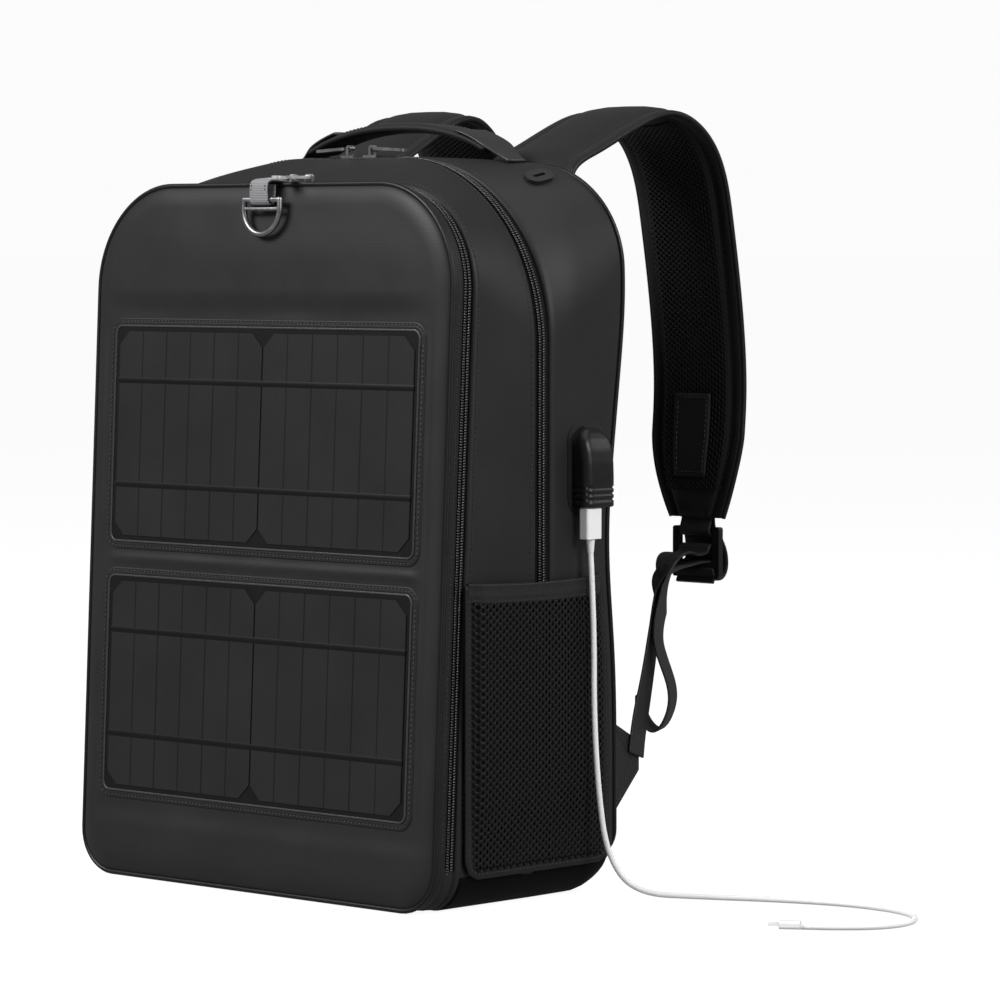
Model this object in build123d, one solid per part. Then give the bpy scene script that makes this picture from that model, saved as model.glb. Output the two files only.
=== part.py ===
"""Solar backpack: a boxy laptop bag whose front compartment cover carries two solar panels.

Frame: millimetres, +Z up. -Y is the front, with the solar panels; +Y is the back, with the shoulder
straps; +X is the side with the charging port. The origin is the centre of the flat base, on the ground.
The front face leans back a little, so everything on the cover is drawn on front_plane().
"""
from build123d import *
import os
from math import cos, pi, radians, sin, tan

os.makedirs("parts", exist_ok=True)

# ---- driving dimensions: shell ------------------------------------------------------------------
HALF_WIDTH = 152.0            # half the bag's width at the main compartment
COVER_HALF = 150.0            # half the front cover's width
FRONT_Y = -80.0               # foot of the front face
BACK_Y = 76.0                 # back edge of the side walls
LEAN = 2.7                    # degrees the front face leans back
COVER_FOOT = 2.0
COVER_TOP = 423.0             # height of the front cover, along its face
MAIN_TOP = 440.0              # height of the main compartment
BACK_TOP = 436.0              # height at the back edge
WALL = 2.6                    # fabric and foam of a wall
CORNER_FRONT = 62.0           # upper corner radius of the cover
CORNER_MAIN = 112.0           # upper corner radius at the main zip
CORNER_BACK = 62.0            # upper corner radius at the back
CORNER_FOOT = 26.0            # lower corner radius
HINGE_Z = 20.0                # fold line of the cover, just below the ends of its zip
RIM_DEPTH = 13.0              # side rim of the cover
PIPE_D = 2.6                  # piping round the cover

# ---- driving dimensions: zips -------------------------------------------------------------------
ZIP1_DEPTH = 16.4             # middle of the cover's zip, behind the front face
ZIP2_Y = 14.6                 # middle of the main zip
ZIP2_END_Z = 192.0            # the main zip ends at the pocket tops
ROW_WIDTH, ROW_THICK = 2.4, 2.2   # one row of zip teeth
ROW_GAP = 1.2                 # between the two rows
ROW_SINK = 0.8                # the rows lie this far under the fabric's surface
TAPE_WIDTH, TAPE_THICK = 4.6, 0.6
SEAM_GAP = 0.4                # between a row and the fabric beside it

# ---- driving dimensions: solar panels -----------------------------------------------------------
CELL = 125.0                  # a mono cell's side, a standard size
CELL_GAP = 1.2
CELL_CUT = 8.5                # cropped cell corner
PANEL_W, PANEL_H = 262.0, 136.0
PANEL_LOW = {"lower": 51.0, "upper": 204.0}   # each panel's lower edge, along the face

# ---- driving dimensions: straps, port, lead -----------------------------------------------------
STRAP_X = 91.5                # middle of a shoulder strap
STRAP_W, STRAP_T = 73.0, 9.0
STRAP_END_W = 43.0
WEB_W, WEB_T = 25.0, 1.5
LOCK_Y, LOCK_Z = 226.5, 208.0  # the ladder lock's top bar
BAR_STEP = 13.0               # from its top bar to its middle bar
PORT_Y, PORT_Z = 52.0, 232.0  # charging port: its middle, and its lower face
PORT_W, PORT_H, PORT_OUT = 26.0, 48.0, 13.0
CABLE_D = 3.4

TILT = radians(LEAN)
REACH = ROW_GAP / 2 + ROW_WIDTH              # from the middle of a zip to its row's far edge
GUSSET_DEPTH = ZIP1_DEPTH + REACH + SEAM_GAP
GUSSET_BACK = ZIP2_Y - REACH - SEAM_GAP
REAR_FRONT = ZIP2_Y + REACH + SEAM_GAP
SIDES = {"left": -1, "right": 1}
parts = {}


# ---- planes, outlines and solids ----------------------------------------------------------------
def front_plane(y_back=0.0):
    """Plane parallel to the front face, with its foot on the ground and that far behind the face's."""
    return Plane(origin=(0, FRONT_Y + y_back, 0), x_dir=(1, 0, 0), z_dir=(0, -cos(TILT), sin(TILT)))


def upright_plane(y):
    return Plane(origin=(0, y, 0), x_dir=(1, 0, 0), z_dir=(0, -1, 0))


FACE = front_plane()
UPRIGHT = upright_plane(0)


def outline(half, top, top_radius, foot_radius, foot):
    """Outline of the bag seen from the front: flat top and foot, four rounded corners."""
    shape = make_face(Polyline((-half, foot), (half, foot), (half, top), (-half, top), close=True))
    shape = fillet(shape.vertices().filter_by(lambda v: v.Y > top - 1), top_radius)
    return fillet(shape.vertices().filter_by(lambda v: v.Y < foot + 1), foot_radius)


def cover_outline(inset=0.0):
    return outline(COVER_HALF - inset, COVER_TOP - inset, CORNER_FRONT - inset, CORNER_FOOT - inset,
                   COVER_FOOT + inset)


def gusset_outline(inset=0.0):
    """The cover's outline carried down to the ground, where the gusset begins."""
    return outline(COVER_HALF - inset, COVER_TOP - inset, CORNER_FRONT - inset, CORNER_FOOT - inset,
                   inset)


def main_outline(inset=0.0):
    return outline(HALF_WIDTH - inset, MAIN_TOP - inset, CORNER_MAIN - inset, CORNER_FOOT - inset,
                   inset)


def back_outline(inset=0.0):
    return outline(HALF_WIDTH - inset, BACK_TOP - inset, CORNER_BACK - inset, CORNER_FOOT - inset,
                   inset)


def slab(plane, sketch, near, far):
    """The sketch as a solid from `near` to `far` behind the plane."""
    return extrude(plane.offset(-near) * sketch, amount=near - far)


def band(plane, shape, inset, thick, near, far):
    """Ring that follows an outline, `inset` inside it and `thick` deep."""
    return slab(plane, shape(inset), near, far) - slab(plane, shape(inset + thick), near, far)


def shell(plane_a, outline_a, plane_b, outline_b):
    """Ring wall between two outlines."""
    outer = loft([plane_a * outline_a(0), plane_b * outline_b(0)])
    return outer - loft([plane_a * outline_a(WALL), plane_b * outline_b(WALL)])


def above(z, shape):
    return shape & Pos(0, 0, z + 500) * Box(1000, 1000, 1000)


def below(z, shape):
    return shape & Pos(0, 0, z - 500) * Box(1000, 1000, 1000)


def group(shapes):
    """Separate solids in one node."""
    return Part(children=list(shapes))


def bar(x0, x1, y, radius):
    return Pos((x0 + x1) / 2, y, 0) * Rot(0, 90, 0) * Cylinder(radius, x1 - x0)


def strip(points, across, width, thick, count):
    """Flat band along a smooth curve; `across` gives the direction of its width at a point."""
    curve = Spline(*points)
    sections = []
    for i in range(count + 1):
        t = i / count
        at, along = curve @ t, (curve % t).normalized()
        way = across(at)
        side = (way - along * way.dot(along)).normalized()
        a, b = side * (width(t) / 2), along.cross(side) * (thick / 2)
        sections.append(Wire.make_polygon([at + a + b, at - a + b, at - a - b, at + a - b], close=True))
    return Solid.make_loft(sections, ruled=True)


# ---- front cover, and the sill it folds on --------------------------------------------------------
def make_cover():
    tray = slab(FACE, cover_outline(), 0, RIM_DEPTH) - slab(FACE, cover_outline(WALL), WALL, RIM_DEPTH)
    strip_behind = band(FACE, cover_outline, 0, WALL, RIM_DEPTH + 0.1, GUSSET_DEPTH - 1.1)
    piping = band(FACE, cover_outline, -0.9, 0.9, 1.2, 1.2 + PIPE_D)
    fold_gap = 0.5
    parts["front_cover_shell"] = above(HINGE_Z + fold_gap, tray)
    parts["cover_piping"] = above(HINGE_Z + fold_gap, piping)
    parts["front_sill"] = group([below(HINGE_Z - fold_gap, tray), below(HINGE_Z - fold_gap, strip_behind)])


# ---- solar panels ---------------------------------------------------------------------------------
def face_plate(z_low, width, height, near, far):
    """Rounded plate on the front face, centred across, standing from `near` to `far` proud of it."""
    sketch = Pos(0, z_low + height / 2) * RectangleRounded(width, height, 5)
    return extrude(FACE.offset(near) * sketch, amount=far - near)


def make_panel(label, z_low):
    lip, border = 2.0, 3.0
    outer = face_plate(z_low - border, PANEL_W + 2 * border, PANEL_H + 2 * border, 0.05, 1.6)
    window = face_plate(z_low + lip, PANEL_W - 2 * lip, PANEL_H - 2 * lip, -1, 3)
    parts[f"solar_frame_{label}"] = outer - window
    inset = lip + 0.2
    parts[f"solar_sheet_{label}"] = face_plate(z_low + inset, PANEL_W - 2 * inset, PANEL_H - 2 * inset,
                                               0.05, 0.9)
    cell = chamfer(Rectangle(CELL, CELL).vertices(), CELL_CUT)
    places = [Pos(side * (CELL + CELL_GAP) / 2, z_low + PANEL_H / 2) for side in (-1, 1)]
    parts[f"solar_cells_{label}"] = group(extrude(FACE.offset(0.95) * (p * cell), amount=0.4)
                                          for p in places)


def make_electronics():
    """Regulator with its output socket, and a junction box behind each panel, inside the cover."""
    skin = WALL + 0.1
    body = slab(FACE, Pos(70, 188) * RectangleRounded(62, 36, 4), skin, skin + 9)
    socket = slab(FACE, Pos(70, 167.5) * Rectangle(13, 9), skin + 2.3, skin + 7.4)
    parts["regulator_box"] = body - socket
    parts["junction_boxes"] = group(
        slab(FACE, Pos(0, z + PANEL_H / 2) * RectangleRounded(30, 20, 3), skin, skin + 5)
        for z in PANEL_LOW.values())


# ---- zips -----------------------------------------------------------------------------------------
def zip_side(plane, shape, middle, direction, end_z):
    """One row of teeth with its tape under it; direction is 1 behind the middle, -1 in front."""
    near = ROW_GAP / 2
    row_ends = sorted((middle + direction * near, middle + direction * REACH))
    tape_ends = sorted((middle + direction * near, middle + direction * TAPE_WIDTH))
    row = band(plane, shape, ROW_SINK, ROW_THICK, *row_ends)
    tape = band(plane, shape, ROW_SINK + ROW_THICK, TAPE_THICK, *tape_ends)
    return above(end_z, row + tape)


def make_zips():
    parts["front_zip_cover_side"] = zip_side(FACE, cover_outline, ZIP1_DEPTH, -1, HINGE_Z + 4)
    parts["front_zip_bag_side"] = zip_side(FACE, cover_outline, ZIP1_DEPTH, 1, HINGE_Z + 4)
    parts["main_zip_front_side"] = zip_side(UPRIGHT, main_outline, ZIP2_Y, -1, ZIP2_END_Z)
    parts["main_zip_rear_side"] = zip_side(UPRIGHT, main_outline, ZIP2_Y, 1, ZIP2_END_Z)


# ---- bag body and its insides -----------------------------------------------------------------------
DIVIDER_Y = 0.0
DIVIDER_T = 3.0


def make_body():
    gusset = shell(front_plane(GUSSET_DEPTH), gusset_outline, upright_plane(GUSSET_BACK), main_outline)
    seam = below(ZIP2_END_Z - 0.5, band(UPRIGHT, main_outline, 0, WALL, GUSSET_BACK, REAR_FRONT - 0.1))
    parts["front_gusset"] = gusset + seam
    parts["rear_shell"] = shell(upright_plane(REAR_FRONT), main_outline, upright_plane(BACK_Y),
                                back_outline)
    parts["back_board"] = slab(UPRIGHT, back_outline(0.6), BACK_Y + 0.1, BACK_Y + 3)
    parts["base_board"] = Pos(0, (REAR_FRONT + BACK_Y) / 2 - 12, WALL + 1.7) * Box(240, 26, 3)


def open_pocket(x, z_low, width, height, y_near, y_far, skin=1.6):
    """Flat pocket, open at its top, sewn to the panel behind it."""
    middle = z_low + height / 2
    body = slab(UPRIGHT, Pos(x, middle) * RectangleRounded(width, height, 8), y_near, y_far)
    room = slab(UPRIGHT, Pos(x, middle + 3) * Rectangle(width - 8, height), y_near + skin, y_far - skin)
    return body - room


def make_insides():
    parts["compartment_divider"] = slab(UPRIGHT, main_outline(WALL + 5), DIVIDER_Y, DIVIDER_Y + DIVIDER_T)
    wide, depth = 114, 9
    parts["organiser_pockets"] = group(
        open_pocket(side * 60, 30, wide, 165, DIVIDER_Y - depth, DIVIDER_Y - 0.1) for side in (-1, 1))
    parts["laptop_sleeve"] = open_pocket(0, 20, 280, 250, BACK_Y - 26, BACK_Y - 1, 2.5)
    parts["power_bank_pocket"] = open_pocket(85, 60, 96, 120, DIVIDER_Y + DIVIDER_T + 0.1,
                                             DIVIDER_Y + DIVIDER_T + 17, 1.4)


# ---- back: pads and the yoke that holds the strap roots ----------------------------------------------
def make_back():
    near, far = BACK_Y + 3.1, BACK_Y + 10.1
    parts["back_pads"] = group(slab(UPRIGHT, Pos(side * 72, 290) * RectangleRounded(104, 200, 22), near, far)
                               for side in (-1, 1))
    parts["lumbar_pad"] = slab(UPRIGHT, Pos(0, 108) * RectangleRounded(248, 128, 24), near, far)
    parts["strap_yoke"] = slab(UPRIGHT, Pos(0, 411) * RectangleRounded(252, 24, 6), near, near + 4)


# ---- side pockets -----------------------------------------------------------------------------------
POCKET_FRONT, POCKET_BACK = -50.0, 70.0
POCKET_FOOT, HEM_LOW, HEM_TOP = 22.0, 180.8, 191.5
POCKET_ROOM = 4.4             # a stretch pocket lies nearly flat when it is empty


def make_pocket(label, side):
    length, middle = POCKET_BACK - POCKET_FRONT, (POCKET_BACK + POCKET_FRONT) / 2
    inner = HALF_WIDTH + 0.2

    def tray(z_low, z_high, skin):
        depth = POCKET_ROOM + skin
        body = Pos(inner + depth / 2, middle, (z_low + z_high) / 2) * Box(depth, length, z_high - z_low)
        floor, lid = POCKET_FOOT + 2, 300
        room = Box(POCKET_ROOM, length - 5, lid - floor)
        room = Pos(inner + POCKET_ROOM / 2, middle, (lid + floor) / 2) * room
        return body - room if side > 0 else mirror(body - room, about=Plane.YZ)

    parts[f"mesh_pocket_{label}"] = tray(POCKET_FOOT, HEM_LOW, 1.0)
    parts[f"pocket_hem_{label}"] = tray(HEM_LOW + 0.1, HEM_TOP, 1.5)


# ---- charging port and earphone outlet ----------------------------------------------------------------
HOOD_X = HALF_WIDTH + 1.3
USB_Y, JACK_Y = PORT_Y - 5.0, PORT_Y + 8.0
SOCKET_X = HOOD_X + 7.6
JACK_R, JACK_DEPTH = 1.8, 14.0


def make_port():
    side = make_face(Polyline((0, 0), (PORT_OUT, 0), (PORT_OUT, 24), (PORT_OUT - 4, 38), (2.5, PORT_H),
                              (0, PORT_H), close=True))
    hood = extrude(Plane(origin=(HOOD_X, PORT_Y + PORT_W / 2, PORT_Z), x_dir=(1, 0, 0), z_dir=(0, -1, 0))
                   * side, amount=PORT_W)
    front = Plane(origin=(HOOD_X, PORT_Y, PORT_Z), x_dir=(0, 1, 0), z_dir=(1, 0, 0))
    shield = fillet((Pos(0, PORT_H / 2) * Rectangle(PORT_W, PORT_H)).vertices()
                    .filter_by(lambda v: v.Y > PORT_H / 2), 11)
    usb_room = Pos(SOCKET_X, USB_Y, PORT_Z + 8) * Box(6.2, 13.8, 16.2)
    jack_room = Pos(SOCKET_X, JACK_Y, PORT_Z + 8) * Cylinder(3.2, 16.2)
    parts["port_hood"] = (hood & extrude(front * shield, amount=PORT_OUT)) - usb_room - jack_room
    flange = Pos(0, PORT_H / 2 - 1) * RectangleRounded(PORT_W + 7, PORT_H + 8, 12)
    parts["port_flange"] = extrude(front * flange, amount=-1.2)
    can = Box(5.8, 13.4, 14.8) - Pos(0, 0, -1.2) * Box(5.0, 12.6, 14.8)
    parts["usb_socket"] = Pos(SOCKET_X, USB_Y, PORT_Z + 8) * can
    jack_h = 15.6
    sleeve = Cylinder(3.1, jack_h) - Pos(0, 0, (JACK_DEPTH - jack_h) / 2) * Cylinder(JACK_R, JACK_DEPTH)
    parts["audio_jack"] = Pos(SOCKET_X, JACK_Y, PORT_Z + 8) * sleeve


def make_earphone_outlet():
    """Rubber outlet in the upper corner of the rear shell, lying on its tapering surface."""
    y, angle = 55.0, radians(60)
    share = (y - REAR_FRONT) / (BACK_Y - REAR_FRONT)
    radius = CORNER_MAIN + share * (CORNER_BACK - CORNER_MAIN)
    x0, z0 = HALF_WIDTH - radius, MAIN_TOP + share * (BACK_TOP - MAIN_TOP) - radius
    step = CORNER_MAIN - CORNER_BACK
    rise = (step * cos(angle) + (step + BACK_TOP - MAIN_TOP) * sin(angle) - step) / (BACK_Y - REAR_FRONT)
    normal = Vector(cos(angle), -rise, sin(angle)).normalized()
    on_surface = Plane(origin=(x0 + radius * cos(angle), y, z0 + radius * sin(angle)),
                       x_dir=(0, 1, 0), z_dir=normal)
    lifted = on_surface.offset(0.35)
    button = extrude(lifted * SlotOverall(19, 12), amount=2)
    neck = extrude(lifted * SlotOverall(13, 6.4), amount=-5)
    slit = extrude(on_surface * SlotOverall(9, 2.4), amount=10, both=True)
    hole = extrude(on_surface * SlotOverall(14, 7.4), amount=8, both=True)
    parts["rear_shell"] = parts["rear_shell"] - hole
    parts["earphone_outlet"] = button + neck - slit


# ---- carrying handle ---------------------------------------------------------------------------------
HANDLE_Y, HANDLE_HALF, HANDLE_PIVOT_Z = 60.0, 74.0, 444.0
HANDLE_W, HANDLE_T = 28.0, 4.4


def make_handle():
    half = [(HANDLE_HALF, HANDLE_PIVOT_Z + 0.5), (52, 452.5), (24, 457.5)]
    points = [(-x, HANDLE_Y, z) for x, z in half] + [(0, HANDLE_Y, 458.6)]
    points += [(x, HANDLE_Y, z) for x, z in reversed(half)]
    parts["carry_handle"] = strip(points, lambda at: Vector(0, 1, 0), lambda t: HANDLE_W, HANDLE_T, 24)
    blocks = [Pos(side * (HANDLE_HALF + 5), HANDLE_Y, HANDLE_PIVOT_Z - 6) * Box(8, 18, 10)
              for side in (-1, 1)]
    solid_bag = loft([upright_plane(REAR_FRONT) * main_outline(-0.1),
                      upright_plane(BACK_Y) * back_outline(-0.1)])
    parts["handle_anchors"] = group(b - solid_bag for b in blocks)


# ---- D-ring and the ribbon that holds it ----------------------------------------------------------------
RING_R, RING_WIRE = 15.0, 1.7
RING_UP, RING_OUT = 414.0, 5.6     # its axis: height along the face, and distance in front of it


def make_d_ring():
    origin = FACE.offset(RING_OUT).from_local_coords(Vector(0, RING_UP, 0))
    frame = Plane(origin=origin, x_dir=(1, 0, 0), z_dir=FACE.z_dir)
    drop, ribbon = 5.5, 15.0
    ring = bar(-RING_R, RING_R, 0, RING_WIRE) + bar(-RING_R, RING_R, -drop, 1.2)
    for side in (-1, 1):
        ring += Pos(side * RING_R, -drop / 2, 0) * Rot(90, 0, 0) * Cylinder(RING_WIRE, drop)
        ring += Pos(side * RING_R, 0, 0) * Sphere(RING_WIRE)
    ring += Pos(0, -drop, 0) * (Torus(RING_R, RING_WIRE) & Pos(0, -50, 0) * Box(100, 100, 100))
    parts["d_ring"] = frame * ring
    outer, inner = RING_WIRE + 1.7, RING_WIRE + 0.3
    roll = bar(-ribbon / 2, ribbon / 2, 0, outer) - bar(-ribbon / 2, ribbon / 2, 0, inner)
    rise = Pos(0, 6.6, outer - 0.8) * Box(ribbon, 9, 1.5)
    over = Pos(0, COVER_TOP + 2.0 - RING_UP, -4.6) * Box(ribbon, 1.6, 16.5)
    parts["d_ring_ribbon"] = frame * (roll + rise + over)


# ---- zip sliders and pulls -------------------------------------------------------------------------------
PLATE_T, PLATE_LIFT, BAIL_UP, BAIL_R = 1.5, 0.4, 4.2, 0.8
EYE_IN, EYE_OUT, EYE_W = 1.1, 2.0, 4.0
SLIDER_W = 6.0
BAIL_Z = PLATE_LIFT + PLATE_T + BAIL_UP


def slider(turned):
    """Slider in its own frame: x along the zip, y across, z = 0 at the top of the teeth."""
    under = ROW_THICK + TAPE_THICK + PLATE_LIFT
    top = Pos(0, 0, PLATE_LIFT + PLATE_T / 2) * Box(11, SLIDER_W, PLATE_T)
    bottom = Pos(0, 0, -under - 0.5) * Box(9, SLIDER_W - 0.4, 1.0)
    post = Pos(0, 0, (PLATE_LIFT - under) / 2) * Box(3.6, ROW_GAP - 0.6, under + PLATE_LIFT + 0.2)
    pin = Rot(90, 0, 0) * Cylinder(BAIL_R, SLIDER_W)
    cheeks = [Pos(0, s * 2.6, -BAIL_UP / 2) * Box(2.0, 0.8, BAIL_UP + 0.6) for s in (-1, 1)]
    bail = Rot(0, 0, 90 if turned else 0) * (pin + cheeks)
    return top + bottom + post + Pos(0, 0, BAIL_Z) * bail


def pull(length):
    """Pull tab in its own frame: its eye on the y axis, the tab along -x."""
    tab = Pos(-length / 2 - 1.6, 0, 0) * Box(length, 7.0, 1.7)
    tab = fillet(tab.edges().filter_by(Axis.Z), 2.4)
    slot = Pos(3.2 - length, 0, 0) * extrude(SlotOverall(5.5, 2.2, 90), amount=2, both=True)
    eye = Rot(90, 0, 0) * Cylinder(EYE_OUT, EYE_W)
    neck = Pos(-2.4, 0, 0) * Box(2.2, EYE_W, 1.5)
    tab = tab - slot - Rot(90, 0, 0) * Cylinder(EYE_OUT + 0.4, 20)
    return tab + eye + neck - Rot(90, 0, 0) * Cylinder(EYE_IN, 20)


def make_sliders():
    """Two sliders on each zip, each with a pull; heading turns the pull about the slider's own z."""
    zip1_top = FACE.offset(-ZIP1_DEPTH).from_local_coords(Vector(0, COVER_TOP - ROW_SINK, 0))
    zip2_top = Vector(0, ZIP2_Y, MAIN_TOP - ROW_SINK)
    droop = 3
    sliders = {
        "front_{}_right": (zip1_top, 17, True, 90, 28, LEAN),
        "front_{}_left": (zip1_top, 4, False, 0, 30, LEAN),
        "main_{}_right": (zip2_top, 13, False, 180, 26, 0),
        "main_{}_left": (zip2_top, -6, False, 0, 26, 0),
    }
    for name, (top, x, turned, heading, length, lean) in sliders.items():
        frame = Pos(*(top + Vector(x, 0, 0))) * Rot(-lean, 0, 0)
        parts[name.format("slider")] = frame * slider(turned)
        hung = frame * Pos(0, 0, BAIL_Z)
        parts[name.format("pull")] = hung * Rot(0, 0, heading) * Rot(0, -droop, 0) * pull(length)
        print(name.format("pull"), "axis through", [round(c, 2) for c in hung.position])


# ---- shoulder straps, ladder locks and webbing ---------------------------------------------------------
# middle of the right strap: its root is nearer the bag's middle than the rest
STRAP_PATH = [(76, 85.5, 431), (78, 104, 443), (82, 140, 460), (85.5, 171, 467), (89, 197, 452),
              (91.5, 215, 402), (91.5, 226, 333), (91.5, 228, 290), (91.5, 225, 245), (91.5, 226, 216)]
LOAD_PATH = [(139.2, 113, 78), (137.6, 117, 92), (133, 127, 110), (125, 143, 137), (113, 163, 163),
             (102, 184, 181), (94, 206, 187)]
TAIL_PATH = [(93, 208, 193.5), (104.5, 185.5, 187), (116.5, 165, 168), (128, 148, 140),
             (134.5, 151, 118), (134, 150, 100), (127, 146, 90), (120, 142, 98), (118.5, 141, 112)]
WRAP = WEB_T / 2 + 2.9        # radius of the webbing's middle as it wraps the lock's middle bar


def strap_width(t):
    taper = max(0.0, (t - 0.86) / 0.14)
    return STRAP_W - (STRAP_W - STRAP_END_W) * taper ** 1.6


def ladder_lock():
    """Lock in its own frame: x across, y up, its top bar on the x axis."""
    foot = -2 * BAR_STEP - 4
    frame = Pos(0, (foot + 2) / 2, 0) * Box(38, 2 - foot, 4.0)
    frame = fillet(frame.edges().filter_by(Axis.Z), 1.6)
    window = Pos(0, (foot + 3.5 + 10) / 2, 0) * Box(28, 10 - foot - 3.5, 10)
    middle = Pos(0, -BAR_STEP, 0) * Box(30, 3.6, 3.6)
    lip = Pos(0, foot - 0.5, 1.6) * Rot(-25, 0, 0) * Box(30, 6, 2)
    return frame - window + bar(-16, 16, 0, 1.8) + middle + lip


def webbing_twist(side):
    """The webbing lies across the bag at the lock and turns edge-on as it runs forward."""
    def across(at):
        first = min(1.0, max(0.0, (215 - at.Y) / 50))
        last = min(1.0, max(0.0, (150 - at.Y) / 40))
        angle = radians(180 - 60 * first - 10 * last)
        return Vector(side * cos(angle), sin(angle), 0)
    return across


def mirrored(points, side):
    return [(side * x, y, z) for x, y, z in points]


def make_strap(label, side):
    x, mid_z = side * STRAP_X, LOCK_Z - BAR_STEP
    lock_at = Pos(x, LOCK_Y, LOCK_Z)
    pad = strip(mirrored(STRAP_PATH, side), lambda at: Vector(1, 0, 0), strap_width, STRAP_T, 36)
    link = Pos(x, LOCK_Y - 0.3, LOCK_Z + 5.5) * Box(26, 1.8, 6)
    eye = lock_at * bar(-13, 13, 0, 3.8)
    parts[f"shoulder_strap_{label}"] = pad + link + eye - lock_at * bar(-40, 40, 0, 2.1)
    parts[f"ladder_lock_{label}"] = lock_at * Rot(90, 0, 0) * ladder_lock()

    twist = webbing_twist(side)
    load = mirrored(LOAD_PATH, side) + [(x, LOCK_Y - 4, mid_z - 6.8), (x, LOCK_Y + 2.6, mid_z - 5.6),
                                        (x, LOCK_Y + WRAP, mid_z - 1)]
    parts[f"webbing_{label}"] = strip(load, twist, lambda t: WEB_W, WEB_T, 28)
    tail = [(x, LOCK_Y - WRAP, mid_z + 0.4), (x, LOCK_Y - WRAP - 2.4, mid_z - 1.4)]
    tail += mirrored(TAIL_PATH, side)
    outer, inner = WRAP + WEB_T / 2, WRAP - WEB_T / 2
    wrap = bar(-WEB_W / 2, WEB_W / 2, 0, outer) - bar(-WEB_W / 2, WEB_W / 2, 0, inner)
    wrap = Pos(x, LOCK_Y, mid_z) * (wrap & Pos(0, 0, 10.5) * Box(100, 100, 20))
    parts[f"webbing_tail_{label}"] = group([wrap, strip(tail, twist, lambda t: WEB_W, WEB_T, 40)])

    inward = Vector(-side * 0.34, 0.94, 0).normalized()
    plane = Plane(origin=(side * 148.5, BACK_Y + 4.4, 74), x_dir=inward,
                  z_dir=Vector(0, 0, 1).cross(inward))
    patch = make_face(Polyline((0, -28), (0, 27), (42, 12), (42, -6), close=True))
    parts[f"strap_anchor_{label}"] = extrude(plane * patch, amount=1.2, both=True)


# ---- charging lead ------------------------------------------------------------------------------------
PLUG_TOP = PORT_Z - 0.6
PLUG_W, PLUG_T, PLUG_H, RELIEF_H = 13.0, 7.4, 18.0, 8.0
FLOOR_Z = CABLE_D / 2
# from the plug's strain relief: x and y from the plug, z from the ground
LEAD_ROUTE = [(0, 0, PLUG_TOP - PLUG_H - RELIEF_H), (2.2, 0.8, 162), (3.4, -0.8, 112), (5.2, 1.2, 64),
              (9, 5, 25), (22, 15, 3), (54, 39, FLOOR_Z), (98, 62, FLOOR_Z), (144, 76, FLOOR_Z),
              (188, 70, FLOOR_Z), (212, 40, FLOOR_Z), (202, 4, FLOOR_Z), (172, -14, FLOOR_Z)]


def make_lead():
    points = [Vector(SOCKET_X + x, USB_Y + y, z) for x, y, z in LEAD_ROUTE]
    radii = []
    for a, b, c in zip(points, points[1:], points[2:]):
        turn = radians((b - a).get_angle(c - b))
        radii.append(0.45 * min((b - a).length, (c - b).length) / tan(turn / 2))
    route = FilletPolyline(*points, radius=radii)
    start = Plane(origin=points[0], z_dir=points[1] - points[0])
    cable = sweep(start * Circle(CABLE_D / 2), path=route)
    parts["lead_cable"] = cable
    print("lead radii", [round(r, 1) for r in radii], "length", round(route.length, 1))
    print("cable volume", round(cable.volume, 1), "expected", round(route.length * pi * CABLE_D ** 2 / 4, 1))

    body = fillet(Box(PLUG_T, PLUG_W, PLUG_H).edges().filter_by(Axis.Z), 1.6)
    relief = Pos(0, 0, -(PLUG_H + RELIEF_H) / 2) * Cone(CABLE_D / 2 + 0.2, 2.6, RELIEF_H)
    contact = Pos(0, 0, PLUG_H / 2 + 5.6) * Box(4.4, 12.0, 11.0)
    parts["lead_plug"] = Pos(SOCKET_X, USB_Y, PLUG_TOP - PLUG_H / 2) * group([body + relief, contact])

    end = Plane(origin=points[-1], x_dir=(points[-1] - points[-2]).normalized(), z_dir=(0, 0, 1))
    grip = Pos(6.1, 0, 0.9) * Box(12, 7.2, 4.6)
    grip = fillet(grip.edges().filter_by(Axis.X), 1.5)
    parts["lead_connector"] = end * (grip + Pos(15.3, 0, 0.9) * Box(6.6, 6.2, 1.6))


make_cover()
for name, z_low in PANEL_LOW.items():
    make_panel(name, z_low)
make_electronics()
make_zips()
make_body()
make_insides()
make_back()
for name, sign in SIDES.items():
    make_pocket(name, sign)
    make_strap(name, sign)
make_port()
make_earphone_outlet()
make_handle()
make_d_ring()
make_sliders()
make_lead()

for name, shape in parts.items():
    solids = [Solid(s.wrapped) for s in shape.solids()]
    export_step(solids[0] if len(solids) == 1 else Compound(children=solids), f"parts/{name}.step")
print(len(parts), "nodes")
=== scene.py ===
import math
import bpy
import numpy as np
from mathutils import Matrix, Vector, noise


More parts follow.
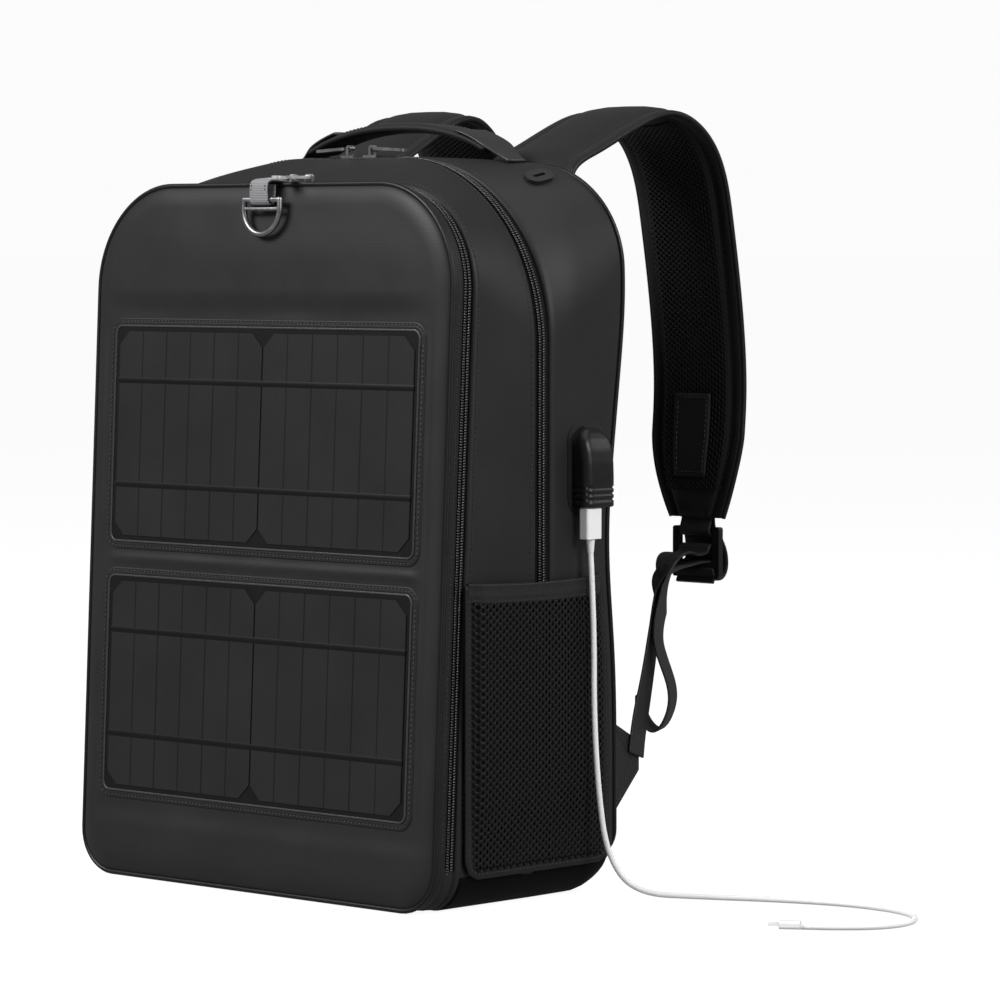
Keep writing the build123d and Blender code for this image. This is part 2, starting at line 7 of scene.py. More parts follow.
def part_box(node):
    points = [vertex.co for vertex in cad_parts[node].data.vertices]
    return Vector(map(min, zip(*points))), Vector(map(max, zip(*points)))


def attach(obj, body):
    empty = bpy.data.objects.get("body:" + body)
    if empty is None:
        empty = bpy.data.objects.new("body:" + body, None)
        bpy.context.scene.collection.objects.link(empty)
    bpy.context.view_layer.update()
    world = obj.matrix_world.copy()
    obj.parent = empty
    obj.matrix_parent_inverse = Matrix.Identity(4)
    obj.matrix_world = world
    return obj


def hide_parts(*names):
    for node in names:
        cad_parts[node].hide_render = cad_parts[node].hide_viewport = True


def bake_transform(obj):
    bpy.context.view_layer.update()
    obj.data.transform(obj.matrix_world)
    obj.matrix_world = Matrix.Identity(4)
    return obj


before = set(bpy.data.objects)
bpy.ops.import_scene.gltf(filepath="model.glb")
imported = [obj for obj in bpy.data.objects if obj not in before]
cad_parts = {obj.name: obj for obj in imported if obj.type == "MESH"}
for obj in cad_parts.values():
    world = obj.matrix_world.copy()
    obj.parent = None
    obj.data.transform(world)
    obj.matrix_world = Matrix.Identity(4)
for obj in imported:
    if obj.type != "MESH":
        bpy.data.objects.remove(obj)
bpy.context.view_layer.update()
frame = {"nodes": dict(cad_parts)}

MM = 0.001

# ---- driving dimensions, in millimetres, as the CAD model has them ----------------------------------
HALF_WIDTH, COVER_HALF = 152.0, 150.0
FRONT_Y, BACK_Y = -80.0, 76.0
LEAN = math.radians(2.7)
COVER_FOOT, COVER_TOP, MAIN_TOP, BACK_TOP = 2.0, 423.0, 440.0, 436.0
CORNER_FRONT, CORNER_MAIN, CORNER_BACK, CORNER_FOOT = 62.0, 112.0, 62.0, 26.0
HINGE_Z = 20.0
ZIP1_DEPTH, ZIP2_Y, ZIP2_END_Z = 16.4, 14.6, 178.0
PANEL_W, PANEL_H = 258.0, 132.0
PANEL_LOW = {"lower": 53.0, "upper": 206.0}
FACE_SEAM = 195.5
LOWEST = 0.3                 # cloth that rests on the ground
STRAP_X = 91.5
WEB_W, WEB_T = 25.0, 1.5
LOCK_Y, LOCK_Z, BAR_STEP = 226.5, 208.0, 13.0
SIDES = {"left": -1, "right": 1}


# ---- camera and lights ------------------------------------------------------------------------------
def make_camera():
    azimuth, tilt = math.radians(42.82), math.radians(3.155)
    data = bpy.data.cameras.new("camera")
    data.sensor_width, data.lens = 36.0, 164.2
    data.clip_start, data.clip_end = 0.1, 500.0
    camera = bpy.data.objects.new("camera", data)
    bpy.context.scene.collection.objects.link(camera)
    camera.location = (1.9504, -1.9629, 0.3847)
    camera.rotation_euler = (math.pi / 2 - tilt, 0.0, azimuth)
    bpy.context.scene.camera = camera


def area_light(name, place, target, size, power):
    data = bpy.data.lights.new(name, "AREA")
    data.shape, data.size, data.size_y, data.energy = "RECTANGLE", size[0], size[1], power
    light = bpy.data.objects.new(name, data)
    bpy.context.scene.collection.objects.link(light)
    light.location = place
    light.rotation_euler = (Vector(target) - Vector(place)).to_track_quat("-Z", "Y").to_euler()


def seen_only(tree, others, camera, socket):
    """Drives a strength: one value for what the camera sees, another for light that lands on the bag."""
    seen = tree.nodes.new("ShaderNodeLightPath")
    strength = tree.nodes.new("ShaderNodeMapRange")
    strength.inputs["To Min"].default_value = others
    strength.inputs["To Max"].default_value = camera
    tree.links.new(seen.outputs["Is Camera Ray"], strength.inputs["Value"])
    tree.links.new(strength.outputs["Result"], socket)


def make_lights():
    scene = bpy.context.scene
    scene.world = scene.world or bpy.data.worlds.new("studio")
    scene.world.use_nodes = True
    scene.view_settings.view_transform = "Standard"
    tree = scene.world.node_tree
    background = tree.nodes["Background"]
    background.inputs["Color"].default_value = (1.0, 1.0, 1.0, 1.0)
    seen_only(tree, 0.16, 0.97, background.inputs["Strength"])
    middle = (0.0, 0.0, 0.22)
    area_light("key", (-0.9, -2.0, 1.9), middle, (1.5, 1.0), 90.0)
    area_light("side", (2.3, -0.1, 1.5), middle, (0.8, 1.2), 44.0)
    area_light("top", (0.4, 0.3, 2.4), middle, (1.6, 1.4), 11.0)
    area_light("rim", (1.6, 2.2, 1.5), middle, (1.2, 1.2), 12.0)


def make_floor():
    reach = 150.0
    mesh = bpy.data.meshes.new("floor")
    corners = [(-reach, -reach), (reach, -reach), (reach, reach), (-reach, reach)]
    mesh.from_pydata([(x, y, -0.0004) for x, y in corners], [], [(0, 1, 2, 3)])
    floor = bpy.data.objects.new("floor", mesh)
    bpy.context.scene.collection.objects.link(floor)
    mat = bpy.data.materials.new("paper")
    mat.use_nodes = True
    shader = mat.node_tree.nodes["Principled BSDF"]
    shader.inputs["Base Color"].default_value = (0.16, 0.16, 0.16, 1)
    shader.inputs["Roughness"].default_value = 0.9
    shader.inputs["Specular IOR Level"].default_value = 0.1
    shader.inputs["Emission Color"].default_value = (1, 1, 1, 1)
    seen_only(mat.node_tree, 0.17, 0.93, shader.inputs["Emission Strength"])
    mesh.materials.append(mat)


# ---- meshes ---------------------------------------------------------------------------------------------
def new_object(name, verts, faces, cloth=None, smooth=True):
    """Mesh object from millimetres; cloth is the flat place of each vertex on its fabric."""
    mesh = bpy.data.meshes.new(name)
    mesh.from_pydata((np.asarray(verts, float) * MM).tolist(), [], faces)
    mesh.validate()
    if cloth is not None:
        data = mesh.attributes.new("cloth", "FLOAT_VECTOR", "POINT")
        data.data.foreach_set("vector", (np.asarray(cloth, np.float32) * MM).ravel())
    mesh.polygons.foreach_set("use_smooth", [smooth] * len(mesh.polygons))
    obj = bpy.data.objects.new(name, mesh)
    bpy.context.scene.collection.objects.link(obj)
    return obj


def lengths(points):
    """Distance run along a row of points."""
    steps = np.linalg.norm(np.diff(points, axis=0), axis=1)
    return np.concatenate([[0.0], np.cumsum(steps)])


def grid_faces(rows, cols, wrap_rows=False, wrap_cols=False, offset=0, flip=False):
    faces = []
    for i in range(rows if wrap_rows else rows - 1):
        for j in range(cols if wrap_cols else cols - 1):
            a, b = i * cols + j, i * cols + (j + 1) % cols
            c, d = ((i + 1) % rows) * cols + (j + 1) % cols, ((i + 1) % rows) * cols + j
            quad = (a, b, c, d) if not flip else (d, c, b, a)
            faces.append(tuple(offset + k for k in quad))
    return faces


def grid_object(name, points, wrap_rows=False, wrap_cols=False, flip=False):
    """Smooth surface through a grid of points, with its fabric lengths along both ways."""
    rows, cols = points.shape[:2]
    along = np.mean([lengths(points[:, j]) for j in range(0, cols, max(1, cols // 8))], axis=0)
    cloth = np.zeros((rows, cols, 3))
    for i in range(rows):
        cloth[i, :, 0] = lengths(points[i])
    cloth[:, :, 1] = along[:, None]
    faces = grid_faces(rows, cols, wrap_rows, wrap_cols, flip=flip)
    return new_object(name, points.reshape(-1, 3), faces, cloth.reshape(-1, 3))


def solidify(obj, thickness, offset=-1.0, rim=True):
    mod = obj.modifiers.new("thickness", "SOLIDIFY")
    mod.thickness, mod.offset, mod.use_rim = thickness * MM, offset, rim
    return obj


def subdivide(obj, levels=1):
    mod = obj.modifiers.new("smooth", "SUBSURF")
    mod.levels = mod.render_levels = levels
    return obj


def smooth_curve(points, count):
    """Natural cubic curve through the points, sampled evenly along its length."""
    points = np.asarray(points, float)
    t = lengths(points)
    n = len(points)
    h = np.diff(t)
    system, right = np.zeros((n, n)), np.zeros((n, points.shape[1]))
    system[0, 0] = system[-1, -1] = 1
    for i in range(1, n - 1):
        system[i, i - 1:i + 2] = h[i - 1], 2 * (h[i - 1] + h[i]), h[i]
        right[i] = 6 * ((points[i + 1] - points[i]) / h[i] - (points[i] - points[i - 1]) / h[i - 1])
    bend = np.linalg.solve(system, right)

    def at(s):
        k = np.clip(np.searchsorted(t, s, side="right") - 1, 0, n - 2)
        a, b, w = (t[k + 1] - s)[:, None], (s - t[k])[:, None], h[k][:, None]
        line = points[k] * a / w + points[k + 1] * b / w
        return line + bend[k] * (a ** 3 / w - a * w) / 6 + bend[k + 1] * (b ** 3 / w - b * w) / 6

    fine = at(np.linspace(0, t[-1], 40 * n))
    run = lengths(fine)
    wanted = np.linspace(0, run[-1], count)
    return np.stack([np.interp(wanted, run, fine[:, k]) for k in range(points.shape[1])], axis=1)


def unit(v):
    return v / np.maximum(np.linalg.norm(v, axis=-1, keepdims=True), 1e-9)


def sweep_frames(path, across):
    """Tangent, side and normal along a path, with side as near to `across` as it can be."""
    tangent = unit(np.gradient(path, axis=0))
    side = unit(across - tangent * np.sum(across * tangent, axis=1, keepdims=True))
    return tangent, side, np.cross(tangent, side)


def swept(name, path, across, profiles, closed_ends=True):
    """Closed profile carried along a path: profiles[i] holds (side, normal) offsets at path[i]."""
    path = np.asarray(path, float)
    across = np.broadcast_to(np.asarray(across, float), path.shape)
    _, side, normal = sweep_frames(path, across)
    profiles = np.asarray(profiles, float)
    if profiles.ndim == 2:
        profiles = np.broadcast_to(profiles, (len(path),) + profiles.shape)
    points = (path[:, None] + side[:, None] * profiles[:, :, :1] + normal[:, None] * profiles[:, :, 1:])
    rows, cols = points.shape[:2]
    run, around = lengths(path), lengths(profiles[rows // 2])
    cloth = np.zeros((rows, cols, 3))
    cloth[:, :, 0], cloth[:, :, 1] = around[None, :], run[:, None]
    faces = grid_faces(rows, cols, wrap_cols=True)
    if closed_ends:
        faces.append(tuple(range(cols))[::-1])
        faces.append(tuple(range((rows - 1) * cols, rows * cols)))
    return new_object(name, points.reshape(-1, 3), faces, cloth.reshape(-1, 3))


def rounded_profile(width, thick, power=0.55, steps=24):
    """Closed flat-oval profile; a small power squares it off."""
    a = np.linspace(0, 2 * math.pi, steps, endpoint=False)
    c, s = np.cos(a), np.sin(a)
    return np.stack([np.sign(c) * np.abs(c) ** power * width / 2,
                     np.sign(s) * np.abs(s) ** power * thick / 2], axis=1)


def tube(name, path, radius, sides=10, closed=True):
    """Round tube along a row of points."""
    path = np.asarray(path, float)
    nxt = np.roll(path, -1, 0) if closed else np.vstack([path[1:], 2 * path[-1] - path[-2]])
    prv = np.roll(path, 1, 0) if closed else np.vstack([2 * path[0] - path[1], path[:-1]])
    tangent = unit(nxt - prv)
    up = np.broadcast_to([0.0, 1.0, 0.0], path.shape)
    side = unit(up - tangent * np.sum(up * tangent, axis=1, keepdims=True))
    normal = np.cross(tangent, side)
    a = np.linspace(0, 2 * math.pi, sides, endpoint=False)
    ring = side[:, None] * np.cos(a)[None, :, None] + normal[:, None] * np.sin(a)[None, :, None]
    points = path[:, None] + ring * radius
    faces = grid_faces(len(path), sides, wrap_rows=closed, wrap_cols=True)
    if not closed:
        faces.append(tuple(range(sides))[::-1])
        faces.append(tuple(range((len(path) - 1) * sides, len(path) * sides)))
    cloth = np.zeros((len(path), sides, 3))
    cloth[:, :, 0], cloth[:, :, 1] = a[None, :] * radius, lengths(path)[:, None]
    return new_object(name, points.reshape(-1, 3), faces, cloth.reshape(-1, 3))


def bead(length, radius, sides=6, rings=4):
    """Small capsule along x, as (points, faces)."""
    xs = np.cos(np.linspace(math.pi, 0, rings + 2)[1:-1])
    a = np.linspace(0, 2 * math.pi, sides, endpoint=False)
    points = [(-length / 2, 0, 0)]
    for x in xs:
        r = radius * (1 - abs(x) ** 3)
        points += [(x * length / 2, r * math.cos(b), r * math.sin(b)) for b in a]
    points.append((length / 2, 0, 0))
    faces = [(0, 1 + (j + 1) % sides, 1 + j) for j in range(sides)]
    faces += grid_faces(rings, sides, wrap_cols=True, offset=1)
    last, first = len(points) - 1, 1 + (rings - 1) * sides
    faces += [(last, first + j, first + (j + 1) % sides) for j in range(sides)]
    return np.array(points), faces


def copies(name, places, along, across, shape):
    """One object of many copies of a small shape, its x along and its y across."""
    base, faces = shape
    along = unit(np.asarray(along, float))
    across = unit(across - along * np.sum(across * along, axis=1, keepdims=True))
    up = np.cross(along, across)
    n = len(base)
    points = (np.asarray(places)[:, None] + along[:, None] * base[None, :, 0:1]
              + across[:, None] * base[None, :, 1:2] + up[:, None] * base[None, :, 2:3])
    all_faces = [tuple(k * n + i for i in f) for k in range(len(places)) for f in faces]
    return new_object(name, points.reshape(-1, 3), all_faces)


def resample(points, pitch):
    run = lengths(points)
    wanted = np.arange(pitch / 2, run[-1], pitch)
    return np.stack([np.interp(wanted, run, points[:, k]) for k in range(3)], axis=1)


def stitches(name, line, normals, pitch=3.2, length=2.1, radius=0.32):
    """Row of thread stitches that lie on a surface along a line."""
    line = np.asarray(line, float)
    run = lengths(line)
    wanted = np.arange(pitch, run[-1] - pitch / 2, pitch)
    at = np.stack([np.interp(wanted, run, line[:, k]) for k in range(3)], axis=1)
    ahead = np.stack([np.interp(wanted + 0.5, run, line[:, k]) for k in range(3)], axis=1)
    normals = np.broadcast_to(np.asarray(normals, float), line.shape)
    up = np.stack([np.interp(wanted, run, normals[:, k]) for k in range(3)], axis=1)
    along = unit(ahead - at)
    obj = copies(name, at, along, np.cross(up, along), bead(length, radius))
    give(obj, "thread")
    return obj


# ---- outlines of the bag ------------------------------------------------------------------------------
def outline(half, top, r_top, r_foot, foot, fine=1):
    """Points (x, z) and outward normals round the bag, from the middle of its foot and back."""
    straight = lambda a, b, n: [(a[0] + (b[0] - a[0]) * k / n, a[1] + (b[1] - a[1]) * k / n) for k in range(n)]
    points, normals = [], []

    def run(a, b, n, normal):
        points.extend(straight(a, b, n))
        normals.extend([normal] * n)

    def corner(cx, cz, r, start, n):
        for k in range(n):
            a = start + math.pi / 2 * k / n
            points.append((cx + r * math.cos(a), cz + r * math.sin(a)))
            normals.append((math.cos(a), math.sin(a)))

    run((0, foot), (half - r_foot, foot), 14 * fine, (0, -1))
    corner(half - r_foot, foot + r_foot, r_foot, -math.pi / 2, 10 * fine)
    run((half, foot + r_foot), (half, top - r_top), 48 * fine, (1, 0))
    corner(half - r_top, top - r_top, r_top, 0, 26 * fine)
    run((half - r_top, top), (r_top - half, top), 24 * fine, (0, 1))
    corner(r_top - half, top - r_top, r_top, math.pi / 2, 26 * fine)
    run((-half, top - r_top), (-half, foot + r_foot), 48 * fine, (-1, 0))
    corner(r_foot - half, foot + r_foot, r_foot, math.pi, 10 * fine)
    run((r_foot - half, foot), (0, foot), 14 * fine, (0, -1))
    return np.array(points), np.array(normals)


COVER = (COVER_HALF, COVER_TOP, CORNER_FRONT, CORNER_FOOT, COVER_FOOT)
GUSSET = (COVER_HALF, COVER_TOP, CORNER_FRONT, CORNER_FOOT, 0.0)
MAIN = (HALF_WIDTH, MAIN_TOP, CORNER_MAIN, CORNER_FOOT, 0.0)
BACK = (HALF_WIDTH, BACK_TOP, CORNER_BACK, CORNER_FOOT, 0.0)


def on_face(x, up, out):
    """Point by its place on the front face: across, up along the face, and proud of it."""
    x, up, out = np.broadcast_arrays(x, up, out)
    return np.stack([x, FRONT_Y + up * math.sin(LEAN) - out * math.cos(LEAN),
                     up * math.cos(LEAN) + out * math.sin(LEAN)], axis=-1)


def face_ring(shape, grow, depth, fine=1):
    """Ring round the cover, `grow` outside its outline and `depth` behind its face."""
    points, normals = outline(*shape, fine)
    points = points + normals * grow
    return on_face(points[:, 0], points[:, 1], -depth)


def upright_ring(shape, grow, y, fine=1):
    points, normals = outline(*shape, fine)
    points = points + normals * grow
    return np.stack([points[:, 0], np.full(len(points), float(y)), points[:, 1]], axis=1)


def inside_distance(x, z, shape):
    """How far a point lies inside an outline."""
    half, top, r_top, r_foot, foot = shape
    middle = (top + foot) / 2
    r = np.where(z > middle, r_top, r_foot)
    qx = np.abs(x) - (half - r)
    qz = np.where(z > middle, z - (top - r), (foot + r) - z)
    outside = np.hypot(np.maximum(qx, 0), np.maximum(qz, 0)) + np.minimum(np.maximum(qx, qz), 0)
    return r - outside


def ease(t):
    t = np.clip(t, 0, 1)
    return t * t * (3 - 2 * t)


def wrinkle(points, size, amount, seed=0.0):
    """Soft unevenness of cloth, as one number for each point."""
    flat = points.reshape(-1, 3)
    values = [noise.noise(Vector((p[0] / size + seed, p[1] / size, p[2] / size))) for p in flat]
    return np.array(values).reshape(points.shape[:-1]) * amount


# ---- materials ------------------------------------------------------------------------------------------
materials = {}


def material(name, colour, rough, specular=0.5, metallic=0.0, sheen=0.0, coat=0.0):
    mat = bpy.data.materials.new(name)
    mat.use_nodes = True
    shader = mat.node_tree.nodes["Principled BSDF"]
    shader.inputs["Base Color"].default_value = (*colour, 1.0)
    shader.inputs["Roughness"].default_value = rough
    shader.inputs["Specular IOR Level"].default_value = specular
    shader.inputs["Metallic"].default_value = metallic
    shader.inputs["Sheen Weight"].default_value = sheen
    shader.inputs["Sheen Roughness"].default_value = 0.5
    shader.inputs["Coat Weight"].default_value = coat
    shader.inputs["Coat Roughness"].default_value = 0.25
    materials[name] = mat
    return mat, mat.node_tree, shader


def node(tree, kind, **values):
    made = tree.nodes.new("ShaderNode" + kind)
    for key, value in values.items():
        if key in made.inputs:
            made.inputs[key].default_value = value
        else:
            setattr(made, key, value)
    return made


def math_node(tree, operation, a, b=None, clamp=False):
    made = tree.nodes.new("ShaderNodeMath")
    made.operation, made.use_clamp = operation, clamp
    for k, value in enumerate((a, b)):
        if value is None:
            continue
        if isinstance(value, (int, float)):
            made.inputs[k].default_value = value
        else:
            tree.links.new(value, made.inputs[k])
    return made.outputs[0]


def place(tree, source, scale=(1, 1, 1), turn=0.0):
    """Coordinates from the fabric's own lengths, or from the object, in metres."""
    if source == "cloth":
        start = node(tree, "Attribute", attribute_name="cloth").outputs["Vector"]
    else:
        start = node(tree, "TexCoord").outputs["Object"]
    mapping = node(tree, "Mapping")
    mapping.inputs["Scale"].default_value = scale
    mapping.inputs["Rotation"].default_value = (0, 0, turn)
    tree.links.new(start, mapping.inputs["Vector"])
    return mapping.outputs["Vector"]


def vary(tree, shader, colour, spread, size_mm, rough, rough_spread):
    """Uneven colour and roughness in soft patches."""
    cloud = node(tree, "TexNoise", Scale=1000.0 / size_mm, Detail=4.0, Roughness=0.6)
    tree.links.new(place(tree, "object"), cloud.inputs["Vector"])
    ramp = node(tree, "ValToRGB")
    dark, light = ramp.color_ramp.elements[0], ramp.color_ramp.elements[1]
    dark.position, light.position = 0.3, 0.7
    dark.color = (*[c * (1 - spread) for c in colour], 1)
    light.color = (*[c * (1 + spread) for c in colour], 1)
    tree.links.new(cloud.outputs["Fac"], ramp.inputs["Fac"])
    spread_node = node(tree, "MapRange")
    spread_node.inputs["To Min"].default_value = rough - rough_spread
    spread_node.inputs["To Max"].default_value = rough + rough_spread
    tree.links.new(cloud.outputs["Fac"], spread_node.inputs["Value"])
    tree.links.new(spread_node.outputs["Result"], shader.inputs["Roughness"])
    return ramp.outputs["Color"], cloud.outputs["Fac"]


def darken(tree, colour, mask, dark):
    """Colour where mask is 0, and a darker colour where it is 1."""
    mix = node(tree, "Mix", data_type="RGBA")
    tree.links.new(mask, mix.inputs["Factor"])
    tree.links.new(colour, mix.inputs["A"])
    mix.inputs["B"].default_value = (*dark, 1)
    return mix.outputs["Result"]


def bump(tree, shader, heights, strength, distance_mm):
    made = node(tree, "Bump", Strength=strength, Distance=distance_mm * MM)
    tree.links.new(heights, made.inputs["Height"])
    tree.links.new(made.outputs["Normal"], shader.inputs["Normal"])


def bands(tree, vector, direction, period_mm):
    wave = node(tree, "TexWave", Scale=1000.0 / period_mm / 20 * 2 * math.pi * 20 / (2 * math.pi) / 1.0)
    wave.wave_type, wave.bands_direction, wave.wave_profile = "BANDS", direction, "SIN"
    wave.inputs["Scale"].default_value = math.pi / 10 * 1000.0 / period_mm
    tree.links.new(vector, wave.inputs["Vector"])
    return wave.outputs["Fac"]


def weave_height(tree, source, period_mm, turn=0.0):
    """Over-and-under of a plain weave."""
    vector = place(tree, source, turn=turn)
    warp = bands(tree, vector, "X", period_mm)
    weft = bands(tree, vector, "Y", period_mm)
    return math_node(tree, "MULTIPLY", warp, weft)


def fabric(name, colour, rough=0.75, weave=0.9, source="cloth", lift=0.12, sheen=0.0, turn=0.0, specular=0.35,
           spread=0.12, patch=45.0, coat=0.0):
    mat, tree, shader = material(name, colour, rough, specular, sheen=sheen, coat=coat)
    tint, cloud = vary(tree, shader, colour, spread, patch, rough, 0.06)
    threads = weave_height(tree, source, weave, turn)
    # painted shade: the dips between the threads are darkened towards 45% of the colour
    painted_recess_shade = math_node(tree, "MULTIPLY", math_node(tree, "SUBTRACT", 1.0, threads), 0.25)
    tint = darken(tree, tint, painted_recess_shade, [c * 0.45 for c in colour])
    tree.links.new(tint, shader.inputs["Base Color"])
    soft = node(tree, "TexNoise", Scale=90.0, Detail=3.0)
    tree.links.new(place(tree, "object"), soft.inputs["Vector"])
    height = math_node(tree, "ADD", threads, math_node(tree, "MULTIPLY", soft.outputs["Fac"], 1.5))
    bump(tree, shader, height, 0.5, lift)
    return mat


def mesh_fabric(name, colour, pitch, source="cloth", lift=0.5, rough=0.85):
    """Spacer mesh: staggered dimples between raised threads, the dimples darkened as painted shade."""
    mat, tree, shader = material(name, colour, rough, 0.3, sheen=0.15)
    tint, cloud = vary(tree, shader, colour, 0.2, 30.0, rough, 0.05)
    cells = node(tree, "TexVoronoi", Scale=1000.0 / pitch, Randomness=0.0)
    cells.feature = "F1"
    tree.links.new(place(tree, source, (1.0, 0.72, 1.0), math.pi / 4), cells.inputs["Vector"])
    hole = node(tree, "MapRange")
    hole.inputs["From Min"].default_value = 0.42
    hole.inputs["From Max"].default_value = 0.22
    tree.links.new(cells.outputs["Distance"], hole.inputs["Value"])
    # painted shade: the dimples are darkened towards 12% of the colour
    tint = darken(tree, tint, hole.outputs["Result"], [c * 0.12 for c in colour])
    tree.links.new(tint, shader.inputs["Base Color"])
    threads = weave_height(tree, source, 0.8)
    height = math_node(tree, "SUBTRACT", math_node(tree, "MULTIPLY", threads, 0.15), hole.outputs["Result"])
    bump(tree, shader, height, 0.9, lift)
    return mat


def ribbed(name, colour, period, rough=0.6, lift=0.25, direction="Y", sheen=0.0):
    """Woven ribs across a band, with fine threads along it; the grooves between the ribs are darkened as painted
    shade.
    """
    mat, tree, shader = material(name, colour, rough, 0.4, sheen=sheen)
    tint, cloud = vary(tree, shader, colour, 0.15, 25.0, rough, 0.07)
    vector = place(tree, "cloth")
    ribs = bands(tree, vector, direction, period)
    fine = bands(tree, vector, "X" if direction == "Y" else "Y", 0.7)
    height = math_node(tree, "ADD", ribs, math_node(tree, "MULTIPLY", fine, 0.35))
    # painted shade: the grooves between the ribs are darkened towards 40% of the colour
    painted_recess_shade = math_node(tree, "MULTIPLY", math_node(tree, "SUBTRACT", 1.0, ribs), 0.5)
    tree.links.new(darken(tree, tint, painted_recess_shade, [c * 0.4 for c in colour]), shader.inputs["Base Color"])
    bump(tree, shader, height, 0.7, lift)
    return mat


def moulded(name, colour, rough, grain_mm=0.6, lift=0.02, coat=0.0, specular=0.5, metallic=0.0, spread=0.08):
    """Moulded plastic, rubber or cast metal: fine grain and slight unevenness."""
    mat, tree, shader = material(name, colour, rough, specular, metallic, coat=coat)
    tint, cloud = vary(tree, shader, colour, spread, 12.0, rough, 0.05)
    tree.links.new(tint, shader.inputs["Base Color"])
    grain = node(tree, "TexNoise", Scale=1000.0 / grain_mm, Detail=3.0)
    tree.links.new(place(tree, "object"), grain.inputs["Vector"])
    bump(tree, shader, grain.outputs["Fac"], 0.35, lift)
    return mat


def brushed(name, colour, rough):
    """Metal with fine scratches and worn, brighter patches."""
    mat, tree, shader = material(name, colour, rough, 0.5, 1.0)
    tint, cloud = vary(tree, shader, colour, 0.25, 5.0, rough, 0.08)
    scratch = node(tree, "TexNoise", Scale=900.0, Detail=5.0)
    tree.links.new(place(tree, "object", (1.0, 6.0, 6.0)), scratch.inputs["Vector"])
    tree.links.new(tint, shader.inputs["Base Color"])
    bump(tree, shader, scratch.outputs["Fac"], 0.3, 0.03)
    return mat


def cell_material():
    """Silicon under a textured film: fine vertical fingers, and a dark line between strips."""
    colour = (0.0125, 0.0125, 0.0132)
    mat, tree, shader = material("cells", colour, 0.46, 0.26)
    tint, cloud = vary(tree, shader, colour, 0.14, 60.0, 0.46, 0.05)
    coords = node(tree, "TexCoord").outputs["Object"]
    split = node(tree, "SeparateXYZ")
    tree.links.new(coords, split.inputs["Vector"])
    fingers = bands(tree, place(tree, "object"), "X", 1.55)
    line = math_node(tree, "MULTIPLY", math_node(tree, "POWER", fingers, 3.0), 0.55)
    tint = darken(tree, tint, line, [0.005, 0.005, 0.0055])
    strip_pitch = (125.0 + 0.6) / 6 * MM
    place_in_strip = math_node(tree, "PINGPONG", split.outputs["X"], strip_pitch / 2)
    near_edge = math_node(tree, "LESS_THAN", place_in_strip, 0.00055)
    tint = darken(tree, tint, near_edge, [0.0012, 0.0012, 0.0012])
    tree.links.new(tint, shader.inputs["Base Color"])
    film = node(tree, "TexNoise", Scale=1600.0, Detail=2.0)
    tree.links.new(place(tree, "object"), film.inputs["Vector"])
    height = math_node(tree, "SUBTRACT", math_node(tree, "MULTIPLY", film.outputs["Fac"], 0.4),
                       math_node(tree, "MULTIPLY", fingers, 0.6))
    bump(tree, shader, height, 0.4, 0.06)
    return mat


def make_materials():
    fabric("shell_fabric", (0.0150, 0.0150, 0.0155), 0.50, 0.85, specular=0.26, lift=0.05)
    fabric("shell_plain", (0.0130, 0.0130, 0.0135), 0.52, 0.85, source="object", specular=0.25)
    fabric("rim_fabric", (0.0105, 0.0105, 0.0110), 0.5, 0.8, specular=0.22)
    # partly the base's own darker fabric and partly painted shade: the base band is made far darker than the shell to
    # stand in for the shade near the ground
    fabric("base_fabric_and_shade", (0.0017, 0.0017, 0.0018), 0.6, 1.2, specular=0.06, sheen=0.01)
    fabric("lining", (0.030, 0.031, 0.034), 0.8, 0.7, source="object", spread=0.08)
    fabric("strap_fabric", (0.0085, 0.0085, 0.0090), 0.58, 0.8, sheen=0.03, specular=0.22)
    fabric("zip_tape", (0.0035, 0.0035, 0.0038), 0.8, 0.7, turn=0.6, lift=0.2, specular=0.15)
    fabric("thread", (0.034, 0.034, 0.036), 0.5, 0.4, source="object", lift=0.1)
    fabric("piping", (0.0050, 0.0050, 0.0052), 0.42, 0.8, specular=0.28)
    fabric("handle_top", (0.014, 0.014, 0.0145), 0.38, 0.8, specular=0.6, coat=0.10)
    mesh_fabric("pad_mesh", (0.0150, 0.0150, 0.0155), 3.4, source="object")
    ribbed("webbing", (0.0090, 0.0090, 0.0095), 1.5)
    ribbed("elastic", (0.0070, 0.0070, 0.0075), 1.3, direction="X")
    ribbed("ribbon", (0.26, 0.26, 0.27), 1.0)
    ribbed("ribbon_dark", (0.016, 0.016, 0.017), 1.0)
    moulded("net", (0.0058, 0.0058, 0.0062), 0.5, 0.5, 0.05, specular=0.16)
    moulded("coil", (0.0085, 0.0085, 0.0090), 0.26, 0.5, 0.02, specular=0.9)
    moulded("hard_plastic", (0.0070, 0.0070, 0.0075), 0.38, 0.7, 0.02, specular=0.3)
    moulded("laminate", (0.030, 0.030, 0.031), 0.35, 0.6, 0.02)
    moulded("backing", (0.0030, 0.0030, 0.0034), 0.5, 0.9, 0.05, specular=0.18)
    moulded("busbar", (0.0024, 0.0024, 0.0027), 0.45, 0.6, 0.04, specular=0.18)
    moulded("rubber", (0.0080, 0.0080, 0.0085), 0.4, 0.8, 0.04)
    moulded("white_plastic", (0.88, 0.88, 0.88), 0.3, 1.0, 0.01, coat=0.2, spread=0.02)
    moulded("white_cable", (0.88, 0.88, 0.88), 0.4, 1.2, 0.02, spread=0.02)
    brushed("gunmetal", (0.26, 0.26, 0.27), 0.36)
    brushed("bright_metal", (0.72, 0.72, 0.73), 0.38)
    cell_material()


def give(obj, name):
    obj.data.materials.clear()
    obj.data.materials.append(materials[name])
    return obj


def put(obj, body, finish, *nodes):
    """Finish, body and the CAD nodes that the piece stands for."""
    give(obj, finish)
    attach(obj, body)
    if nodes:
        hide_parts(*nodes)
    return obj


